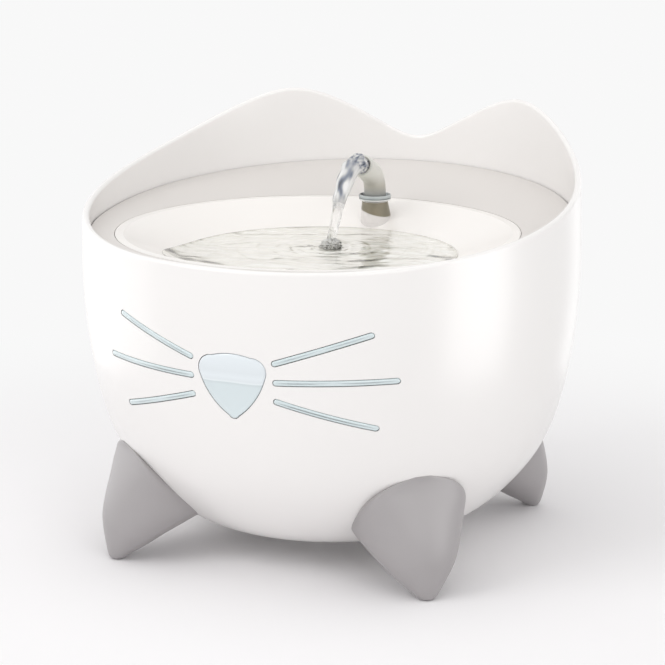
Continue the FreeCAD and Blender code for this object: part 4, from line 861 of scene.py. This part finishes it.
def poolEdge(angle):    # radius in millimetres, further out where the water laps up the dish
    off = (angle * 180 / pi - water["leanAngle"] + 180) % 360 - 180
    return water["edge"] + water["lean"] * darkBand(off, 0, water["leanWidth"])


def fromLanding(x, y):
    across, deep = x - water["landing"][0], y - water["landing"][1]
    return hypot(across, deep), atan2(deep, across)


def rippleAt(x, y):    # millimetres up and down
    away = fromLanding(x, y)[0]
    bent = away + noiseSum(water["bend"], x, y)
    ring = sin(tau * bent / water["rippleLength"]) * exp(-away / water["rippleReach"])
    return water["rippleHeight"] * ring + noiseSum(water["swell"], x, y)


# tone of the water, carrying its painted reflections, darker and paler
def reflectionToneAt(x, y, rim):    # rim is the distance to the pool's edge
    look = poolReflections
    cosine, sine = look["turned"]
    deep = y - dishCentre.y / mm
    right, back = x * cosine + deep * sine, deep * cosine - x * sine
    away, turn = fromLanding(x, y)
    streak = noiseSum(look["streak"], x, y)
    swirl = noiseAt(turn * 1.5, away / 2.6, 2.0) + 0.5 * noiseAt(turn * 4, away / 1.4, 6.0)
    middle, more, side = look["ends"]
    ends = middle + more * min(1.0, abs(right) / side) ** 2
    tone = look["plain"] - look["streakDark"] * max(0.0, streak - look["streakFrom"]) * ends
    tone -= look["swirlDark"] * max(0.0, swirl - look["swirlFrom"]) * exp(-away / look["swirlReach"])
    tone += look["streakPale"] * max(0.0, -streak)
    dark, place, width, fade = look["rim"]
    tone -= dark * darkBand(rim, place, width) * clamp(0.5 + back / fade)
    waver = noiseSum(look["waver"], x, y)
    for threadRight, threadBack, length, width, tilt, strength in look["threads"]:
        turned = radians(tilt)
        run, off = right - threadRight, back - threadBack
        along = run * cos(turned) + off * sin(turned)
        aside = off * cos(turned) - run * sin(turned) + waver
        tone -= look["threadDark"] * strength * darkBand(along, 0, length) * darkBand(aside, 0, width)
    return clamp(tone)


def makePool():
    around, rings = water["around"], water["rings"]
    corners, tones, clarities = [], [], []
    for layer in ("top", "bottom"):
        for ring in range(rings):
            for angle in allRound(around):
                edge = poolEdge(angle)
                distance = edge * max(ring, water["hub"]) / (rings - 1)
                floor = dishHeight(distance * mm) / mm + water["overDish"]
                x, y = distance * sin(angle), dishCentre.y / mm - distance * cos(angle)
                waves = clamp((water["edge"] - distance) / water["calm"])
                level, film = water["level"] + rippleAt(x, y) * waves, floor + water["film"]
                apart = sqrt((level - film) ** 2 + water["blend"])
                top = (level + film + apart) / 2 - water["blendDrop"]
                corners.append(Vector((x, y, top if layer == "top" else floor)) * mm)
                tone = reflectionToneAt(x, y, edge - distance)
                tones.append(tone)
                clarities.append(water["clarity"][0] + water["clarity"][1] * tone)
    faces = ringFaces(rings, around) + [face[::-1] for face in ringFaces(rings, around, rings * around)]
    faces += joinRings((rings - 1) * around, (2 * rings - 1) * around, around)
    stops = [(0.0, (0.06, 0.06, 0.05)), (0.25, (0.22, 0.22, 0.18)), (0.5, (0.55, 0.54, 0.47)),
             (0.72, (0.80, 0.79, 0.71)), (0.88, (0.88, 0.87, 0.82)), (1.0, (0.97, 0.96, 0.93))]
    material = makeToneShader("poolWater", stops, 0.06)
    return tonedPiece("poolWater", corners, faces, material, tones, clarities)


settle(makePool(), "dish", "clear_riser")

stream = {
    "mouthBack": 41.5, "crestBack": 32.4, "crest": 180.1, "fall": 0.0305, "end": -1.6,
    "steps": 110, "around": 56, "pathSteps": 600,
    "radius": [(0.0, 3.8), (0.06, 4.3), (0.13, 5.0), (0.24, 4.5), (0.40, 4.1), (0.58, 3.5), (0.72, 2.6),
               (0.88, 2.2), (1.0, 2.8)],
    # uneven surface: scale across, scale along, seed, end of the rough part, strength there and below
    "bumps": [(1, 9, 0, 0.3, 0.22, 0.16), (3, 5, 4, 0.22, 0.16, 0.10)],
    # broken water at the mouth, then a smooth full stream, then thin and clear: shares of the length
    "frothEnd": 0.30, "bodyEnd": 0.68, "change": 0.10,
    "plain": 0.80, "smooth": 0.88, "broken": 0.50,      # their tones, which carry painted reflections and highlights
    "core": (-1.35, 0.55, 0.62), "edge": (-2.85, 0.22, 0.75),   # painted dark reflections in threads: angle, width, strength
    "drift": 0.9,           # how far the painted dark threads wander
    "clarity": (0.95, 0.65),    # thin water, and how much less in the full stream
}


def streamPath():
    fine = [Vector((0, y, stream["crest"] - stream["fall"] * (y - stream["crestBack"]) ** 2))
            for y in spread(stream["mouthBack"], stream["end"], stream["pathSteps"])]
    lengths = [0.0]
    for before, after in zip(fine, fine[1:]):
        lengths.append(lengths[-1] + (after - before).length)
    path, at = [], 0
    for travelled in spread(0, lengths[-1], stream["steps"]):
        while at < len(lengths) - 2 and lengths[at + 1] < travelled:
            at += 1
        path.append(fine[at] * mm)
    path[-1] = fine[-1] * mm
    return path


def streamWobble(share, angle):
    across, along = 1.1 * cos(angle), 1.1 * sin(angle)
    size = 1
    for scale, pace, seed, end, rough, calm in stream["bumps"]:
        bump = noiseAt(across * scale, along * scale, share * pace + seed)
        size += bump * (rough if share < end else calm)
    return size


def makeStream():
    steps, count = stream["steps"], stream["around"]
    radii = [alongTable(stream["radius"], index / steps) * mm for index in range(steps + 1)]
    corners = sweep(streamPath(), radii, count, streamWobble)
    # painted reflections and highlights on the stream: a dark core and edge thread, pale threads, and dark
    # and pale mottling in the broken water
    tones, clarities = [], []
    for index in range(steps + 1):
        share = index / steps
        froth = clamp((stream["frothEnd"] - share) / stream["change"])
        body = clamp((stream["bodyEnd"] - share) / stream["change"])
        for step in range(count):
            angle = (tau * step / count + pi) % tau - pi
            thread = noiseAt(2.2 * cos(angle), 2.2 * sin(angle), share * 7)
            fine = noiseAt(6 * cos(angle), 6 * sin(angle), share * 30)
            drift = angle + stream["drift"] * noiseAt(1, 5, share * 9)
            smooth = stream["smooth"] + 0.45 * thread
            for place, width, strength in (stream["core"], stream["edge"]):
                smooth -= strength * darkBand(drift, place, width)
            broken = stream["broken"] + 0.75 * fine + 0.3 * thread
            full = froth * broken + (1 - froth) * smooth
            tones.append(stream["plain"] + body * (full - stream["plain"]))
            clarities.append(stream["clarity"][0] - stream["clarity"][1] * body)
    faces = ringFaces(steps + 1, count) + [cap(0, count, True), cap(steps * count, count)]
    stops = [(0.0, (0.07, 0.075, 0.09)), (0.28, (0.26, 0.29, 0.36)), (0.50, (0.56, 0.57, 0.60)),
             (0.66, (0.84, 0.84, 0.83)), (0.85, (0.99, 0.99, 0.99))]
    material = makeToneShader("streamWater", stops, 0.02)
    return cleanUp(tonedPiece("waterStream", corners, faces, material, tones, clarities))


settle(makeStream(), "spout", "clear_riser")

splash = {
    "centre": (0.3, 0.3, 0.6),      # from where the stream lands
    "size": (5.2, 4.6, 3.4), "sizeBelow": (5.2, 4.6, 1.6),
    "lumps": 0.42, "drops": 0.22,
    # tone: painted light paler towards the top, painted shade darker towards the right, with specks
    "tone": 0.52, "speck": 0.9, "paintedLightUp": 0.22, "paintedShadeRight": 0.16, "clarity": 0.55,
}


def makeSplash():
    work = bmesh.new()
    bmesh.ops.create_icosphere(work, subdivisions=5, radius=1.0)
    corners = [vertex.co.copy() for vertex in work.verts]
    faces = [tuple(vertex.index for vertex in face.verts) for face in work.faces]
    work.free()
    centre = Vector((*water["landing"], water["level"])) + Vector(splash["centre"])
    moved, tones = [], []
    for corner in corners:
        lumps = splash["lumps"] * noise.noise(corner * 2.1 + Vector((3, 1, 2)))
        drops = splash["drops"] * noise.noise(corner * 5.5)
        size = splash["size"] if corner.z > 0 else splash["sizeBelow"]
        moved.append((centre + Vector([a * b for a, b in zip(corner, size)]) * (1 + lumps + drops)) * mm)
        speck = splash["speck"] * noise.noise(corner * 7.5 + Vector((5, 5, 5)))
        # painted light towards the top and painted shade towards the right
        tones.append(splash["tone"] + speck + splash["paintedLightUp"] * corner.z - splash["paintedShadeRight"] * corner.x)
    stops = [(0.0, (0.09, 0.09, 0.08)), (0.35, (0.36, 0.35, 0.32)), (0.55, (0.72, 0.71, 0.68)),
             (0.8, (0.97, 0.97, 0.96))]
    material = makeToneShader("splashWater", stops, 0.05)
    return tonedPiece("waterSplash", moved, faces, material, tones, [splash["clarity"]] * len(moved))


settle(makeSplash(), "spout", "clear_riser")
print("water ready")


# Floor, background, lamps and camera

stageLook = {
    "background": (0.940, 0.940, 0.940),
    "floor": (0.93, 0.92, 0.93),
    "fadeFrom": 0.14, "fadeTo": 0.46,   # metres from the origin, where the floor turns into background
    "worldLight": 0.69,
    "rings": 40, "around": 96, "reach": 6.0,
}


def mixShaders(tree, share, first, second):
    mix = tree.nodes.new("ShaderNodeMixShader")
    for index, socket in enumerate((share, first, second)):
        tree.links.new(socket, mix.inputs[index])
    return mix.outputs[0]


def makeFloor():
    corners, rings, around = [], stageLook["rings"], stageLook["around"]
    for ring in range(rings):
        radius = 0.01 + stageLook["reach"] * (ring / (rings - 1)) ** 2
        corners += [polar(radius, angle, 0) for angle in allRound(around)]
    material, tree, shader = newShader("floorPaper")
    colour = (*stageLook["floor"], 1)
    setInputs(shader, {"Base Color": colour, "Roughness": 0.9, "Specular IOR Level": 0.1})
    where = objectSpace(tree)
    length = addNode(tree, "ShaderNodeVectorMath", {"operation": "LENGTH"})
    tree.links.new(where, length.inputs[0])
    away = length.outputs["Value"]
    fade = addNode(tree, "ShaderNodeMapRange", {"interpolation_type": "SMOOTHSTEP"}, Value=away)
    setInputs(fade, {"From Min": stageLook["fadeFrom"], "From Max": stageLook["fadeTo"]})
    glow = addNode(tree, "ShaderNodeEmission", Color=(*stageLook["background"], 1), Strength=1.0)
    paper = next(node for node in tree.nodes if node.type == "OUTPUT_MATERIAL")
    tree.links.new(mixShaders(tree, fade.outputs[0], shader.outputs[0], glow.outputs[0]), paper.inputs[0])
    newPiece("floor", corners, ringFaces(rings, around), material)


def makeWorld():    # the camera, glass and reflections see the background, the rest gets the light
    world = bpy.data.worlds.new("studio")
    scene.world = world
    world.use_nodes = True
    tree = world.node_tree
    tree.nodes.clear()
    output = tree.nodes.new("ShaderNodeOutputWorld")
    path = tree.nodes.new("ShaderNodeLightPath")
    seen = path.outputs["Is Camera Ray"]
    for ray in ("Is Transmission Ray", "Is Glossy Ray"):
        either = addNode(tree, "ShaderNodeMath", {"operation": "MAXIMUM"})
        tree.links.new(seen, either.inputs[0])
        tree.links.new(path.outputs[ray], either.inputs[1])
        seen = either.outputs[0]
    light = addNode(tree, "ShaderNodeBackground", Color=(1.0, 0.995, 0.99, 1),
                    Strength=stageLook["worldLight"])
    paper = addNode(tree, "ShaderNodeBackground", Color=(*stageLook["background"], 1), Strength=1.0)
    tree.links.new(mixShaders(tree, seen, light.outputs[0], paper.outputs[0]), output.inputs[0])


# place, where it points, width, height, watts
lamps = {
    "key": ((-1.1, -1.4, 1.35), (0, 0, 0.08), 1.2, 1.2, 10.5),
    "topSoft": ((-0.1, 0.0, 2.0), (0, 0, 0.1), 1.6, 1.6, 6.5),
    "fill": ((1.2, -1.2, 0.9), (-0.05, 0.05, 0.15), 1.0, 1.0, 5.2),
}
# panels that light only reflections: degrees from the front, distance, width, height, watts
panels = {
    "leftPanel": (-83, 0.32, 0.36, 0.42, 0.35),
    "rightPanel": (80, 0.32, 0.16, 0.42, 0.42),
    "edgePanel": (150, 0.32, 0.10, 0.42, 0.05),
}


def addAimed(name, data, place, facing):
    holder = bpy.data.objects.new(name, data)
    holder.location = place
    holder.rotation_euler = facing.to_track_quat("-Z", "Y").to_euler()
    scene.collection.objects.link(holder)
    return holder


def addLamp(name, place, facing, width, height, watts):
    lamp = bpy.data.lights.new(name, "AREA")
    lamp.shape = "RECTANGLE"
    lamp.size, lamp.size_y, lamp.energy = width, height, watts
    return addAimed(name, lamp, place, facing)


def makeLamps():
    for name, (place, target, *size) in lamps.items():
        addLamp(name, place, Vector(target) - Vector(place), *size)
    for name, (degrees, distance, width, height, watts) in panels.items():
        out = polar(1, radians(degrees), 0)
        holder = addLamp(name, out * distance + Vector((0, 0, height / 2)), -out, width, height, watts)
        holder.visible_diffuse = False
        holder.visible_transmission = False


view = {
    "azimuth": 22.18, "elevation": 13.29, "target": (0, 0, 0.100), "distance": 1.1989, "lens": 132.2,
    "sensor": 36, "shift": (0.0011, 0.0042),
}


def makeCamera():
    turn, rise = radians(view["azimuth"]), radians(view["elevation"])
    back = Vector((sin(turn) * cos(rise), -cos(turn) * cos(rise), sin(rise)))
    lens = bpy.data.cameras.new("camera")
    lens.lens, lens.sensor_width = view["lens"], view["sensor"]
    lens.shift_x, lens.shift_y = view["shift"]
    scene.camera = addAimed("camera", lens, Vector(view["target"]) + back * view["distance"], -back)


makeFloor()
makeWorld()
makeLamps()
makeCamera()
print("stage ready")
